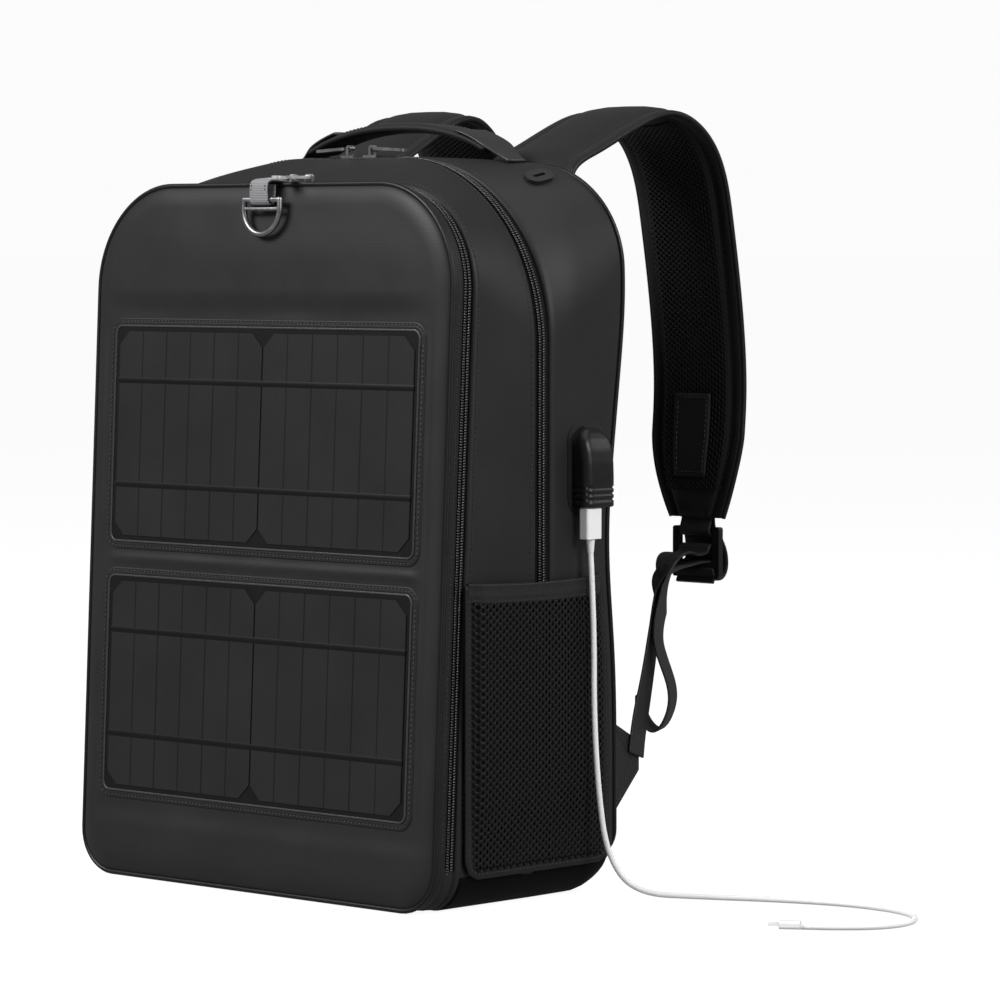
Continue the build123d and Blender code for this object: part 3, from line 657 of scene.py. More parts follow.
def bend_at_fold(obj, finish, *nodes):
    """For cloth that crosses the cover's fold line at its foot; it gets its finish and stays fixed where it is, on no
    body, so it does not bend at the fold.
    """
    give(obj, finish)
    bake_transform(obj)
    if nodes:
        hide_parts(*nodes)
    return obj


# ---- charging lead ----------------------------------------------------------------------------------------
def make_lead():
    plug_low, plug_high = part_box("lead_plug")
    x, y = (plug_low.x + plug_high.x) / 2 / MM, (plug_low.y + plug_high.y) / 2 / MM
    floor = 1.7
    route = [(0, 0, plug_low.z / MM), (2.2, 0.8, 162), (3.4, -0.8, 112), (5.2, 1.2, 64), (9, 5, 25),
             (22, 15, 3), (54, 39, floor), (98, 62, floor), (144, 76, floor), (188, 70, floor),
             (212, 40, floor), (202, 4, floor), (172, -14, floor)]
    data = bpy.data.curves.new("charging_lead", "CURVE")
    data.dimensions, data.bevel_depth, data.bevel_resolution, data.resolution_u = "3D", 1.7 * MM, 5, 16
    line = data.splines.new("NURBS")
    line.points.add(len(route) - 1)
    for point, (dx, dy, z) in zip(line.points, route):
        point.co = ((x + dx) * MM, (y + dy) * MM, z * MM, 1.0)
    line.order_u = 3
    line.use_endpoint_u = True
    data.use_fill_caps = True
    lead = bpy.data.objects.new("charging_lead", data)
    bpy.context.scene.collection.objects.link(lead)
    put(lead, "bag", "white_cable", "lead_cable")
    plug, tip = frame["nodes"]["lead_plug"], frame["nodes"]["lead_connector"]
    give(plug, "white_plastic")
    give(tip, "white_plastic")


# ---- front cover --------------------------------------------------------------------------------------------
def dense_ends(count, edge):
    """Places from 0 to 1, closer together near both ends."""
    t = np.linspace(0, 1, count)
    return (1 - edge) * t + edge * (0.5 - 0.5 * np.cos(math.pi * t))


def face_depth(x, up):
    """How far the cover's cloth lies behind the flat face: rounded edge, and a soft crown."""
    inside = np.clip(inside_distance(x, up, COVER), 0, None)
    reach, drop = 13.0, 5.0
    edge = drop * (1 - np.sqrt(np.clip(1 - (1 - np.clip(inside / reach, 0, 1)) ** 2, 0, 1)))
    above = ease((up - 346) / 14) * ease(inside / 45)
    below = ease((44 - up) / 12) * ease(inside / 20)
    between = np.exp(-((up - FACE_SEAM) / 3.4) ** 2) * ease((135 - np.abs(x)) / 10)
    fold = np.exp(-((np.abs(x) - PANEL_W / 2 - 8.5) / 1.3) ** 2) * ease((up - 40) / 20) * ease((348 - up) / 20)
    return edge - 2.2 * above - 1.0 * below - 0.9 * between + 0.5 * fold


def make_cover_face():
    half, top, r_top, r_foot, foot = COVER
    ups = foot + (top - foot) * dense_ends(190, 0.75)
    ups = np.sort(np.concatenate([ups, FACE_SEAM + np.linspace(-3.6, 4.4, 13)]))
    shares = 2 * dense_ends(130, 0.75) - 1
    corner = np.where(ups > top - r_top, np.sqrt(np.clip(r_top ** 2 - (ups - top + r_top) ** 2, 0, None)) - r_top,
                      np.where(ups < foot + r_foot,
                               np.sqrt(np.clip(r_foot ** 2 - (foot + r_foot - ups) ** 2, 0, None)) - r_foot, 0))
    x = shares[None, :] * (half + corner)[:, None]
    up = np.broadcast_to(ups[:, None], x.shape)
    depth = face_depth(x, up)
    calm = ease(np.abs(inside_distance(x, up, COVER)) / 12)
    for low in PANEL_LOW.values():
        gap = np.maximum(np.abs(x) - PANEL_W / 2, np.abs(up - low - PANEL_H / 2) - PANEL_H / 2)
        calm = calm * ease(gap / 14)
    points = on_face(x, up, -depth)
    points = on_face(x, up, -depth + wrinkle(points, 38, 0.7) * calm)
    face = grid_object("cover_face", points)
    solidify(face, 2.0, offset=-1.0)
    bend_at_fold(face, "shell_fabric", "front_cover_shell", "front_sill")


def make_cover_rim():
    """Side band between the piping and the zip."""
    rows = [(-0.4, 4.6), (0.1, 5.6), (0.5, 7.2), (0.7, 9.0), (0.4, 10.8), (-0.1, 12.2), (-1.0, 13.2), (-2.3, 13.2)]
    rings = [face_ring(COVER, grow, depth) for grow, depth in rows]
    rim = grid_object("cover_rim", np.array(rings), wrap_cols=True, flip=True)
    solidify(rim, 1.0)
    bend_at_fold(rim, "rim_fabric")
    pipe = tube("cover_piping_cord", face_ring(COVER, 0.3, 3.8), 1.55)
    bend_at_fold(pipe, "piping", "cover_piping")
    ring = face_ring(COVER, 0.55, 8.6)
    points, normals = outline(*COVER)
    above = ring[:, 2] > HINGE_Z + 8
    line = np.roll(ring, -20, axis=0)[np.roll(above, -20)]
    out = np.stack([normals[:, 0], 0 * normals[:, 0], normals[:, 1]], 1)
    out = np.roll(out, -20, axis=0)[np.roll(above, -20)]
    row = stitches("rim_stitches", line, out)
    put(row, "front_cover", "thread")


def window_ring(low, out, rise, steps=8):
    """Rounded rectangle round a panel's window."""
    radius = 5.0 + out
    w, h = PANEL_W / 2 + out, PANEL_H / 2 + out
    points = []
    for cx, cz, start in ((1, 1, 0), (-1, 1, 90), (-1, -1, 180), (1, -1, 270)):
        for k in range(steps + 1):
            a = math.radians(start + 90 * k / steps)
            points.append((cx * (w - radius) + radius * math.cos(a),
                           low + PANEL_H / 2 + cz * (h - radius) + radius * math.sin(a)))
    points = np.array(points)
    dense = []
    for a, b in zip(points, np.roll(points, -1, 0)):
        n = max(1, int(np.linalg.norm(b - a) / 6))
        dense += [a + (b - a) * k / n for k in range(n)]
    dense = np.array(dense)
    return dense, rise


def frame_ring(low, out, rise):
    base, _ = window_ring(low, 0.0, 0)
    centre = np.array([0, low + PANEL_H / 2])
    q = base - centre
    inner = np.array([PANEL_W / 2 - 5, PANEL_H / 2 - 5])
    core = np.clip(q, -inner, inner)
    direction = unit(q - core)
    moved = centre + q + direction * out
    return on_face(moved[:, 0], moved[:, 1], rise - face_depth(moved[:, 0], moved[:, 1]) * ease(out / 6 - 1))


def make_panel(label, low):
    rows = [(0.3, 0.55), (1.2, 0.75), (2.4, 0.8), (3.0, 0.5), (3.6, 0.8), (4.4, 0.7), (4.9, 0.25), (5.2, -0.4)]
    rings = np.array([frame_ring(low, out, rise) for out, rise in rows])
    border = grid_object(f"panel_frame_{label}", rings, wrap_cols=True, flip=True)
    put(border, "front_cover", "shell_plain", f"solar_frame_{label}")
    edge_rows = [(-0.7, 0.3), (-0.7, 1.15), (-0.45, 1.4), (0.35, 1.4), (0.6, 1.15), (0.6, 0.3)]
    edge_rings = np.array([frame_ring(low, out, rise) for out, rise in edge_rows])
    lip = grid_object(f"panel_edge_{label}", edge_rings, wrap_cols=True, flip=True)
    put(lip, "front_cover", "laminate")
    line = frame_ring(low, 3.0, 0.85)
    line = np.vstack([line, line[:1]])
    normal = np.array([0, -math.cos(LEAN), math.sin(LEAN)])
    row = stitches(f"panel_stitches_{label}", line, normal, pitch=3.0, length=2.0, radius=0.42)
    put(row, "front_cover", "thread")
    give(frame["nodes"][f"solar_sheet_{label}"], "backing")
    give(frame["nodes"][f"solar_cells_{label}"], "cells")
    bars, faces = [], []
    for share in (0.25, 0.76):
        up = low + 3.5 + 125.0 * share
        n = len(bars)
        reach, half = PANEL_W / 2 - 3.2, 1.9
        section = [(-half, 1.30), (-half + 0.5, 1.55), (half - 0.5, 1.55), (half, 1.30)]
        ends = np.array([[on_face(x, up + dz, out) for dz, out in section] for x in np.linspace(-reach, reach, 40)])
        bars.append(ends.reshape(-1, 3))
        faces += grid_faces(40, 4, offset=160 * (len(bars) - 1), flip=True)
    strip = new_object(f"busbars_{label}", np.vstack(bars), faces)
    put(strip, "front_cover", "busbar")


# ---- zips ---------------------------------------------------------------------------------------------------
def zip_path(ring, end_z):
    """The part of a ring above the zip's ends, from its right end over the top to its left end."""
    start = int(np.argmax(ring[:, 2] > end_z))
    stop = len(ring) - int(np.argmax(ring[::-1, 2] > end_z))
    return ring[start:stop]


def ring_out(shape, fine=1):
    points, normals = outline(*shape, fine)
    return np.stack([normals[:, 0], 0 * normals[:, 0], normals[:, 1]], 1)


def teeth(name, ring, out, back, end_z, shift, body, *nodes):
    """A row of coil teeth along a ring; back points away from the zip's middle."""
    keep = slice(int(np.argmax(ring[:, 2] > end_z)), len(ring) - int(np.argmax(ring[::-1, 2] > end_z)))
    line, out = ring[keep], out[keep]
    run = lengths(line)
    pitch = 1.6
    wanted = np.arange(2 + shift * pitch, run[-1] - 2, pitch)
    at = np.stack([np.interp(wanted, run, line[:, k]) for k in range(3)], axis=1)
    up = unit(np.stack([np.interp(wanted, run, out[:, k]) for k in range(3)], axis=1))
    ahead = unit(np.stack([np.interp(wanted + 0.5, run, line[:, k]) for k in range(3)], axis=1) - at)
    across = np.broadcast_to(np.asarray(back, float), at.shape) + ahead * 0.18
    obj = copies(name, at, across, np.cross(up, across), bead(3.0, 0.70, 7, 4))
    return put(obj, body, "coil", *nodes)


def zip_tape(name, rows, end_z, body):
    rings = [zip_path(r, end_z) for r in rows]
    tape = grid_object(name, np.array(rings), flip=True)
    solidify(tape, 0.5)
    return put(tape, body, "zip_tape")


def make_front_zip():
    back = np.array([0, math.cos(LEAN), -math.sin(LEAN)])
    end = HINGE_Z + 2
    out = ring_out(COVER, 3)
    for label, body, sign in (("cover_side", "front_cover", -1), ("bag_side", "bag", 1)):
        ring = face_ring(COVER, -0.7, ZIP1_DEPTH + sign * 1.65, 3)
        teeth(f"front_teeth_{label}", ring, out, back * sign, end, 0.25 + sign * 0.25, body,
              f"front_zip_{label}")
        depths = [ZIP1_DEPTH + sign * d for d in (0.5, 2.2, 3.0, 4.2, 5.4)]
        drops = (-1.9, -1.9, -1.7, -1.8, -2.4)
        rows = [face_ring(COVER, drop, depth) for drop, depth in zip(drops, depths)]
        zip_tape(f"front_tape_{label}", rows if sign > 0 else rows[::-1], end, body)


def make_main_zip():
    out = ring_out(MAIN, 3)
    for label, sign in (("front_side", -1), ("rear_side", 1)):
        ring = upright_ring(MAIN, -0.6, ZIP2_Y + sign * 1.65, 3)
        teeth(f"main_teeth_{label}", ring, out, (0, sign, 0), ZIP2_END_Z, 0.25 + sign * 0.25, "bag",
              f"main_zip_{label}")
        depths = [ZIP2_Y + sign * d for d in (0.5, 2.2, 3.4, 5.0, 6.6, 8.0)]
        drops = (-1.9, -1.9, -1.5, -1.4, -1.8, -2.6)
        rows = [upright_ring(MAIN, drop, y) for drop, y in zip(drops, depths)]
        zip_tape(f"main_tape_{label}", rows if sign > 0 else rows[::-1], ZIP2_END_Z, "bag")


# ---- gusset, rear shell and base --------------------------------------------------------------------------
def lofted(ring_a, ring_b, out, profile):
    """Rings from a to b; profile lists (share of the way, outward bulge)."""
    rows = []
    for share, bulge in profile:
        rows.append(ring_a * (1 - share) + ring_b * share + out * bulge)
    return np.array(rows)


def cloth_rows(points, out, size, amount, seed):
    """Adds soft unevenness across a lofted piece, none at its two seams or on the ground."""
    rows = len(points)
    calm = np.sin(np.linspace(0, math.pi, rows))[:, None]
    standing = ease((points[:, :, 2] - 186) / 50)
    return points + out[None] * (wrinkle(points, size, amount, seed) * calm * standing)[:, :, None]


def heel(points):
    """Rounds the bag's lower back edge."""
    points = np.array(points, float)
    reach, lift = 24.0, 22.0
    t = np.clip((points[..., 1] - (BACK_Y + 5 - reach)) / reach, 0, 0.99)
    points[..., 2] += lift * (1 - np.sqrt(1 - t ** 2)) * np.clip(1 - points[..., 2] / 70, 0, 1)
    return points


def waist(points):
    """Soft outline of the bag's back half: a belly near the top and a hollow below it."""
    points = np.array(points, float)
    x, y, z = points[..., 0], points[..., 1], points[..., 2]
    belly, hollow = np.exp(-((z - 362) / 60) ** 2), np.exp(-((z - 212) / 62) ** 2)
    side, back = ease((np.abs(x) - 104) / 40), ease((y - 22) / 52)
    points[..., 1] = y + side * back * (4.0 * belly - 7.0 * hollow)
    points[..., 0] = x + np.sign(x) * side * ease((y - 22) / 26) * 2.6 * belly
    return points


def make_gusset():
    out = ring_out(MAIN)
    start, end = face_ring(GUSSET, 0.0, 21.0), upright_ring(MAIN, 0.0, ZIP2_Y - 5.0)
    shares = np.concatenate([[0, 0.012, 0.035, 0.07], np.linspace(0.12, 0.9, 20), [0.94, 0.97, 0.99, 1.0]])
    high = ease((start[:, 2] - 186) / 50)[:, None]
    rows = []
    for t in shares:
        tuck = -2.2 * (1 - min(1, t / 0.035)) ** 2 - 2.0 * (1 - min(1, (1 - t) / 0.04)) ** 2
        bulge = 1.6 * math.sin(math.pi * t) ** 0.7 if 0 < t < 1 else 0.0
        rows.append(start * (1 - t) + end * t + out * (tuck + bulge * high))
    points = cloth_rows(np.array(rows), out, 46, 1.1, 3.0)
    points[..., 2] = np.maximum(points[..., 2], LOWEST)
    piece = grid_object("gusset_cloth", points, wrap_cols=True, flip=True)
    solidify(piece, 1.2)
    put(piece, "bag", "shell_fabric", "front_gusset")
    for name, share in (("gusset_stitches_front", 0.075), ("gusset_stitches_rear", 0.915)):
        k = int(np.argmin(np.abs(shares - share)))
        line = points[k] + out * 0.15
        keep = line[:, 2] > (HINGE_Z + 12 if share < 0.5 else ZIP2_END_Z + 8)
        row = stitches(name, line[keep], out[keep])
        put(row, "bag", "thread")


def make_rear_shell():
    out = ring_out(MAIN)
    start, end = upright_ring(MAIN, 0.0, ZIP2_Y + 6.6), upright_ring(BACK, 0.0, BACK_Y)
    shares = np.concatenate([[0, 0.02, 0.05, 0.1], np.linspace(0.16, 0.9, 16), [0.95]])
    high = ease((start[:, 2] - 186) / 50)[:, None]
    rows = []
    for t in shares:
        tuck = -2.2 * (1 - min(1, t / 0.05)) ** 2
        bulge = 0.6 * math.sin(math.pi * t) if 0 < t < 1 else 0.0
        rows.append(start * (1 - t) + end * t + out * (tuck + bulge * high))
    points = cloth_rows(np.array(rows), out, 52, 0.6, 7.0)
    turn = [upright_ring(BACK, -grow, BACK_Y + dy) for grow, dy in ((0.3, 0.6), (1.2, 2.4), (2.8, 3.8), (5.0, 4.6), (9.0, 4.8))]
    points = waist(heel(np.concatenate([points, np.array(turn)])))
    points[..., 2] = np.maximum(points[..., 2], LOWEST)
    piece = grid_object("rear_cloth", points, wrap_cols=True, flip=True)
    solidify(piece, 1.2)
    put(piece, "bag", "shell_fabric", "rear_shell")
    pipe = tube("back_piping", waist(heel(upright_ring(BACK, -1.6, BACK_Y + 4.4))), 1.5)
    put(pipe, "bag", "piping")


def make_seam_bands():
    """Cloth below the zips' ends, which joins the cover's sill, the gusset and the rear shell."""
    out = ring_out(MAIN)

    def lower(rows, top):
        keep = rows[0][:, 2] < top
        order = np.roll(np.arange(len(keep)), len(keep) // 2)
        order = order[keep[order]]
        return np.array([r[order] for r in rows])

    band = [upright_ring(MAIN, grow, ZIP2_Y + dy)
            for grow, dy in ((-0.9, -6.5), (-0.4, -3.0), (-1.2, -0.4), (-1.2, 0.4), (-0.4, 3.0), (-0.9, 7.5))]
    piece = grid_object("side_seam_cloth", lower(band, ZIP2_END_Z + 8), flip=True)
    solidify(piece, 1.0)
    put(piece, "bag", "shell_fabric")
    sill = [face_ring(COVER, -1.2, 12.0), face_ring(COVER, -0.8, 15.0), face_ring(GUSSET, -1.0, 18.0),
            face_ring(GUSSET, -1.2, 22.5)]
    piece = grid_object("sill_cloth", lower(sill, HINGE_Z + 12), flip=True)
    solidify(piece, 1.0)
    put(piece, "bag", "shell_fabric")
    start, end = face_ring(GUSSET, 0.7, 24.0), upright_ring(BACK, 0.7, BACK_Y - 2)
    shares = (0, 0.01, *np.linspace(0.03, 0.97, 24), 0.99, 1.0)
    rows = [start * (1 - t) + end * t for t in shares]
    for row in (rows[0], rows[-1]):
        row -= out * 1.2
    rows = waist(heel(lower(np.array(rows), 22.0)))
    rows[..., 2] = np.maximum(rows[..., 2], LOWEST / 2)
    piece = grid_object("base_cloth", rows, flip=True)
    # base band colour: its own darker fabric plus painted shade near the ground
    put(piece, "bag", "base_fabric_and_shade")


def plate(name, shape, inset, y_of, rows=110, cols=80):
    """Flat-backed sheet that fills an outline, with y from a function of x and z."""
    half, top, r_top, r_foot, foot = shape
    half, top, r_top, r_foot, foot = half - inset, top - inset, r_top - inset, r_foot - inset, foot + inset
    z = foot + (top - foot) * dense_ends(rows, 0.7)
    corner = np.where(z > top - r_top, np.sqrt(np.clip(r_top ** 2 - (z - top + r_top) ** 2, 0, None)) - r_top,
                      np.where(z < foot + r_foot,
                               np.sqrt(np.clip(r_foot ** 2 - (foot + r_foot - z) ** 2, 0, None)) - r_foot, 0))
    x = (2 * dense_ends(cols, 0.6) - 1)[None, :] * (half + corner)[:, None]
    z = np.broadcast_to(z[:, None], x.shape)
    return grid_object(name, waist(heel(np.stack([x, y_of(x, z), z], axis=-1))), flip=True)


def make_back_panel():
    def y_of(x, z):
        inside = inside_distance(x, z, BACK)
        return BACK_Y + 4.6 - 1.2 * (1 - ease((inside - 6) / 8))
    piece = plate("back_panel_cloth", BACK, 6.0, y_of)
    solidify(piece, 1.0)
    put(piece, "bag", "pad_mesh", "back_board")


# ---- side pockets --------------------------------------------------------------------------------------------
POCKET_FRONT, POCKET_BACK, POCKET_FOOT, HEM_LOW, HEM_TOP = -50.0, 70.0, 22.0, 180.8, 191.5


def net(name, width, height, pitch, squeeze, hole, surface, thick):
    """Knitted net: rows of oval holes, each in its own six-sided cell, laid on a surface."""
    radius = pitch / math.sqrt(3)
    width = width / squeeze
    cols = int((width - pitch) / (1.5 * radius)) + 1
    rows = int(height / pitch)
    left = (width - (cols - 1) * 1.5 * radius) / 2
    low = (height - rows * pitch) / 2
    centres = np.array([(left + 1.5 * radius * c, low + pitch * (k + 0.5 + 0.5 * (c % 2)))
                        for c in range(cols) for k in range(rows - c % 2)])
    outer, inner = [], []
    for k in range(12):
        a = math.radians(30 * k)
        reach = radius * math.cos(math.pi / 6) if k % 2 else radius
        outer.append((reach * math.cos(a), reach * math.sin(a)))
        inner.append((hole[0] / 2 * math.cos(a), hole[1] / 2 * math.sin(a)))
    flat = (centres[:, None] + np.array(outer + inner)[None]).reshape(-1, 2) * (squeeze, 1)
    key = np.round(flat * 50).astype(int)
    _, first, same = np.unique(key, axis=0, return_index=True, return_inverse=True)
    same = same.reshape(-1)
    flat = flat[first]
    faces = []
    for c in range(len(centres)):
        for k in range(12):
            ring = (24 * c + k, 24 * c + (k + 1) % 12, 24 * c + 12 + (k + 1) % 12, 24 * c + 12 + k)
            faces.append(tuple(int(same[i]) for i in ring))
    cloth = np.column_stack([flat, np.zeros(len(flat))])
    obj = new_object(name, surface(flat[:, 0], flat[:, 1]), faces, cloth)
    return solidify(obj, thick, offset=0.0)


def pocket_out(y, z):
    """How far a side pocket stands off the bag: sewn down at its front, back and foot."""
    front, back = ease((y - POCKET_FRONT) / 9), ease((POCKET_BACK - y) / 9)
    return 0.9 + 4.6 * front * back * (0.35 + 0.65 * ease((z - POCKET_FOOT) / 60))


def make_pocket(label, side):
    length = POCKET_BACK - POCKET_FRONT

    def surface(s, v):
        y, z = POCKET_FRONT + s, POCKET_FOOT + v
        return waist(np.stack([side * (HALF_WIDTH + pocket_out(y, z)), y, z], axis=-1))

    mesh = net(f"pocket_net_{label}", length, HEM_LOW - POCKET_FOOT + 3, 4.4, 0.74, (2.9, 2.8), surface, 0.8)
    put(mesh, "bag", "net", f"mesh_pocket_{label}")
    ys = np.linspace(POCKET_FRONT - 1.0, POCKET_BACK + 1.0, 60)
    dip = 1.8 * np.sin(math.pi * np.linspace(0, 1, 60))
    rows = [(-0.9, HEM_LOW - 1), (0.3, HEM_LOW - 0.2), (0.7, HEM_LOW + 0.6), (0.3, HEM_LOW + 1.4),
            (0.8, HEM_LOW + 2.4), (1.0, HEM_LOW + 5), (0.8, HEM_TOP - 1.6), (1.1, HEM_TOP - 1.0),
            (1.0, HEM_TOP - 0.2), (0.2, HEM_TOP + 0.3), (-0.7, HEM_TOP - 0.2), (-0.8, HEM_TOP - 6),
            (-0.8, HEM_LOW - 1)]
    points = np.array([[(side * (HALF_WIDTH + max(0.4, pocket_out(y, z) + out)), y, z - d)
                        for y, d in zip(ys, dip)] for out, z in rows])
    hem = grid_object(f"pocket_elastic_{label}", waist(points), wrap_rows=True, flip=side > 0)
    put(hem, "bag", "elastic", f"pocket_hem_{label}")
    edge = [(POCKET_FRONT, HEM_TOP - 1), (POCKET_FRONT, POCKET_FOOT + 8), (POCKET_FRONT + 2.5, POCKET_FOOT + 2.5),
            (POCKET_FRONT + 8, POCKET_FOOT), (POCKET_BACK - 8, POCKET_FOOT), (POCKET_BACK - 2.5, POCKET_FOOT + 2.5),
            (POCKET_BACK, POCKET_FOOT + 8), (POCKET_BACK, HEM_TOP - 1)]
    dense = []
    for a, b in zip(edge, edge[1:]):
        n = max(1, int(math.dist(a, b) / 3))
        dense += [(a[0] + (b[0] - a[0]) * k / n, a[1] + (b[1] - a[1]) * k / n) for k in range(n)]
    dense.append(edge[-1])
    path = waist([(side * (HALF_WIDTH + 0.9), y, z) for y, z in dense])
    along = np.gradient(path, axis=0)
    across = np.cross(along, np.array([side, 0.0, 0.0]))
    tape = swept(f"pocket_binding_{label}", path, across, rounded_profile(6.0, 1.6, 0.5, 16))
    put(tape, "bag", "strap_fabric")
    out = np.array([side, 0.0, 0.0])
    row = stitches(f"pocket_stitches_{label}", path + out * 0.75, out)
    put(row, "bag", "thread")


# ---- charging port and earphone outlet ------------------------------------------------------------------------
PORT_Y, PORT_Z, PORT_W, PORT_H, PORT_OUT = 52.0, 232.0, 26.0, 48.0, 13.0
HOOD_X = HALF_WIDTH + 1.3


def bevel(obj, width, segments=3, angle=30):
    mod = obj.modifiers.new("edges", "BEVEL")
    mod.width, mod.segments, mod.limit_method = width * MM, segments, "ANGLE"
    mod.angle_limit = math.radians(angle)
    mod.harden_normals = False
    return obj


def hood_level(up, inset=0.0):
    """Section of the port's hood at a height: a D with rounded outer corners."""
    round_top = 12.0
    rise = max(0.0, up - (PORT_H - round_top))
    half = PORT_W / 2 - round_top + math.sqrt(max(0.0, round_top ** 2 - rise ** 2)) - inset
    out = float(np.interp(up, [0, 18, 26, 34, 40, 44, 46.5, PORT_H], [13, 13, 12.7, 11.6, 9.6, 7.0, 4.6, 0.6])) - inset
    corner = min(5.5, out * 0.8, half * 0.8)
    points = [(0.0, -half)]
    for k in range(9):
        a = math.radians(-90 + 90 * k / 8)
        points.append((out - corner + corner * math.cos(a), -half + corner + corner * math.sin(a)))
    for k in range(9):
        a = math.radians(90 * k / 8)
        points.append((out - corner + corner * math.cos(a), half - corner + corner * math.sin(a)))
    points.append((0.0, half))
    return [(HOOD_X + x, PORT_Y + y, PORT_Z + up) for x, y in points]


def make_port():
    grooves = []
    for at in (4.5, 8.0, 11.5):
        grooves += [(at - 0.9, 0.0), (at - 0.45, 0.5), (at + 0.45, 0.5), (at + 0.9, 0.0)]
    levels = [(5.0, 1.8), (0.6, 1.8), (0.0, 1.2), (0.0, 0.6), (0.6, 0.0)] + grooves
    levels += [(u, 0.0) for u in np.linspace(14, 40, 14)] + [(u, 0.0) for u in np.linspace(41, 47.9, 12)]
    points = np.array([hood_level(up, inset) for up, inset in levels])
    rows, cols = points.shape[:2]
    faces = grid_faces(rows, cols, wrap_cols=True)
    faces += [tuple(range(cols)), tuple(range((rows - 1) * cols, rows * cols))[::-1]]
    hood = new_object("port_hood_shell", points.reshape(-1, 3), faces)
    put(hood, "bag", "hard_plastic", "port_hood")
    bevel(give(frame["nodes"]["port_flange"], "rubber"), 0.5)
    bevel(give(frame["nodes"]["usb_socket"], "bright_metal"), 0.15, 2)
    bevel(give(frame["nodes"]["audio_jack"], "bright_metal"), 0.15, 2)
    bevel(give(frame["nodes"]["earphone_outlet"], "rubber"), 0.9, 4)
    bevel(frame["nodes"]["lead_plug"], 0.4)
    bevel(frame["nodes"]["lead_connector"], 0.4)


# ---- metal and moulded fittings ---------------------------------------------------------------------------------
def make_fittings():
    nodes = frame["nodes"]
    bevel(give(nodes["d_ring"], "gunmetal"), 0.3, 2)
    for label in SIDES:
        for zip_name in ("front", "main"):
            bevel(give(nodes[f"{zip_name}_slider_{label}"], "gunmetal"), 0.3, 3)
            metal = "bright_metal" if zip_name == "front" else "gunmetal"
            bevel(give(nodes[f"{zip_name}_pull_{label}"], metal), 0.35, 3)
        bevel(give(nodes[f"ladder_lock_{label}"], "hard_plastic"), 0.7, 3)
    bevel(give(nodes["regulator_box"], "hard_plastic"), 1.2, 3)
    bevel(give(nodes["junction_boxes"], "hard_plastic"), 1.0, 3)
    bevel(give(nodes["base_board"], "backing"), 1.0, 2)


def make_ring_ribbon():
    up, out = 414.0, 5.6
    path = [(425.4, -8.5), (425.7, -2.0), (425.7, 4.0), (424.4, 7.6), (420.5, 8.7)]
    for k in range(9):
        a = math.radians(90 - 22.5 * k)
        path.append((up - 2.7 * math.cos(a), out + 2.7 * math.sin(a)))
    path += [(419.0, 2.2), (423.0, 2.4)]
    line = smooth_curve([on_face(0.0, a, b) for a, b in path], 90)
    band = swept("ring_ribbon", line, (1, 0, 0), rounded_profile(15.0, 1.3, 0.35, 20))
    put(band, "front_cover", "ribbon", "d_ring_ribbon")
    for x in (-5.8, 5.8):
        stitch_line = np.array([on_face(x, a, 9.45) for a in np.linspace(417.5, 423.5, 12)])
        row = stitches(f"ribbon_stitches_{'left' if x < 0 else 'right'}", stitch_line,
                       (0, -math.cos(LEAN), math.sin(LEAN)), 2.2, 1.5, 0.25)
        put(row, "front_cover", "thread")


# ---- carrying handle ----------------------------------------------------------------------------------------------
HANDLE_Y, HANDLE_HALF, HANDLE_PIVOT_Z = 60.0, 74.0, 444.0


def make_handle():
    half = [(HANDLE_HALF, HANDLE_PIVOT_Z + 0.5), (64, 448.8), (52, 452.6), (38, 455.6), (20, 457.8)]
    points = [(-x, HANDLE_Y, z) for x, z in half] + [(0, HANDLE_Y, 458.4)]
    points += [(x, HANDLE_Y, z) for x, z in reversed(half)]
    line = smooth_curve(points, 90)
    t = np.linspace(-1, 1, 90)
    profiles = []
    for k in t:
        thick = 4.4 + 2.0 * (1 - k ** 2) ** 0.5
        width = 28.0 - 3.0 * (1 - abs(k) ** 3)
        profiles.append(rounded_profile(width, thick, 0.7, 32))
    band = swept("handle_band", line, (0, 1, 0), profiles)
    put(band, "carry_handle", "strap_fabric", "carry_handle")
    for edge in (-1, 1):
        _, side, normal = sweep_frames(line, np.broadcast_to([0.0, 1.0, 0.0], line.shape))
        width = np.array([28.0 - 3.0 * (1 - abs(k) ** 3) for k in t])[:, None]
        seam = line + side * edge * (width / 2 - 3.4)
        lift = np.array([(4.4 + 2.0 * (1 - k ** 2) ** 0.5) * 0.43 for k in t])[:, None]
        up = np.where(normal[:, 2:] < 0, -normal, normal)
        row = stitches(f"handle_stitches_{'front' if edge < 0 else 'back'}", seam + up * lift, up)
        put(row, "carry_handle", "thread")
    for label, sign in SIDES.items():
        ends = [(90, 437.2), (86, 439.2), (81, 442.0), (HANDLE_HALF, 446.6), (64, 451.8), (52, 456.0)]
        path = smooth_curve([(sign * x, HANDLE_Y, z) for x, z in ends], 40)
        widths = 27.5 - 11.5 * (1 - ease(np.linspace(0, 1, 40) / 0.55))
        patch = swept(f"handle_patch_{label}", path, (0, 1, 0),
                      [rounded_profile(w, 1.8, 0.35, 20) for w in widths])
        give(patch, "handle_top")
        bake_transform(patch)
        if sign < 0:
            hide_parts("handle_anchors")


# ---- shoulder straps ------------------------------------------------------------------------------------------------
STRAP_PATH = [(76, 81.5, 419), (76, 85.5, 431), (78, 104, 443), (82, 140, 460), (85.5, 171, 467), (89, 197, 452),
              (91.5, 215, 402), (91.5, 226, 333), (91.5, 228, 290), (91.5, 225, 245), (91.5, 226, 216)]
STRAP_W, STRAP_T, STRAP_END_W = 73.0, 9.0, 43.0
BINDING = 8.0


def strap_width(t):
    end = max(0.0, (t - 0.86) / 0.14)
    return STRAP_W - (STRAP_W - STRAP_END_W) * end ** 1.6


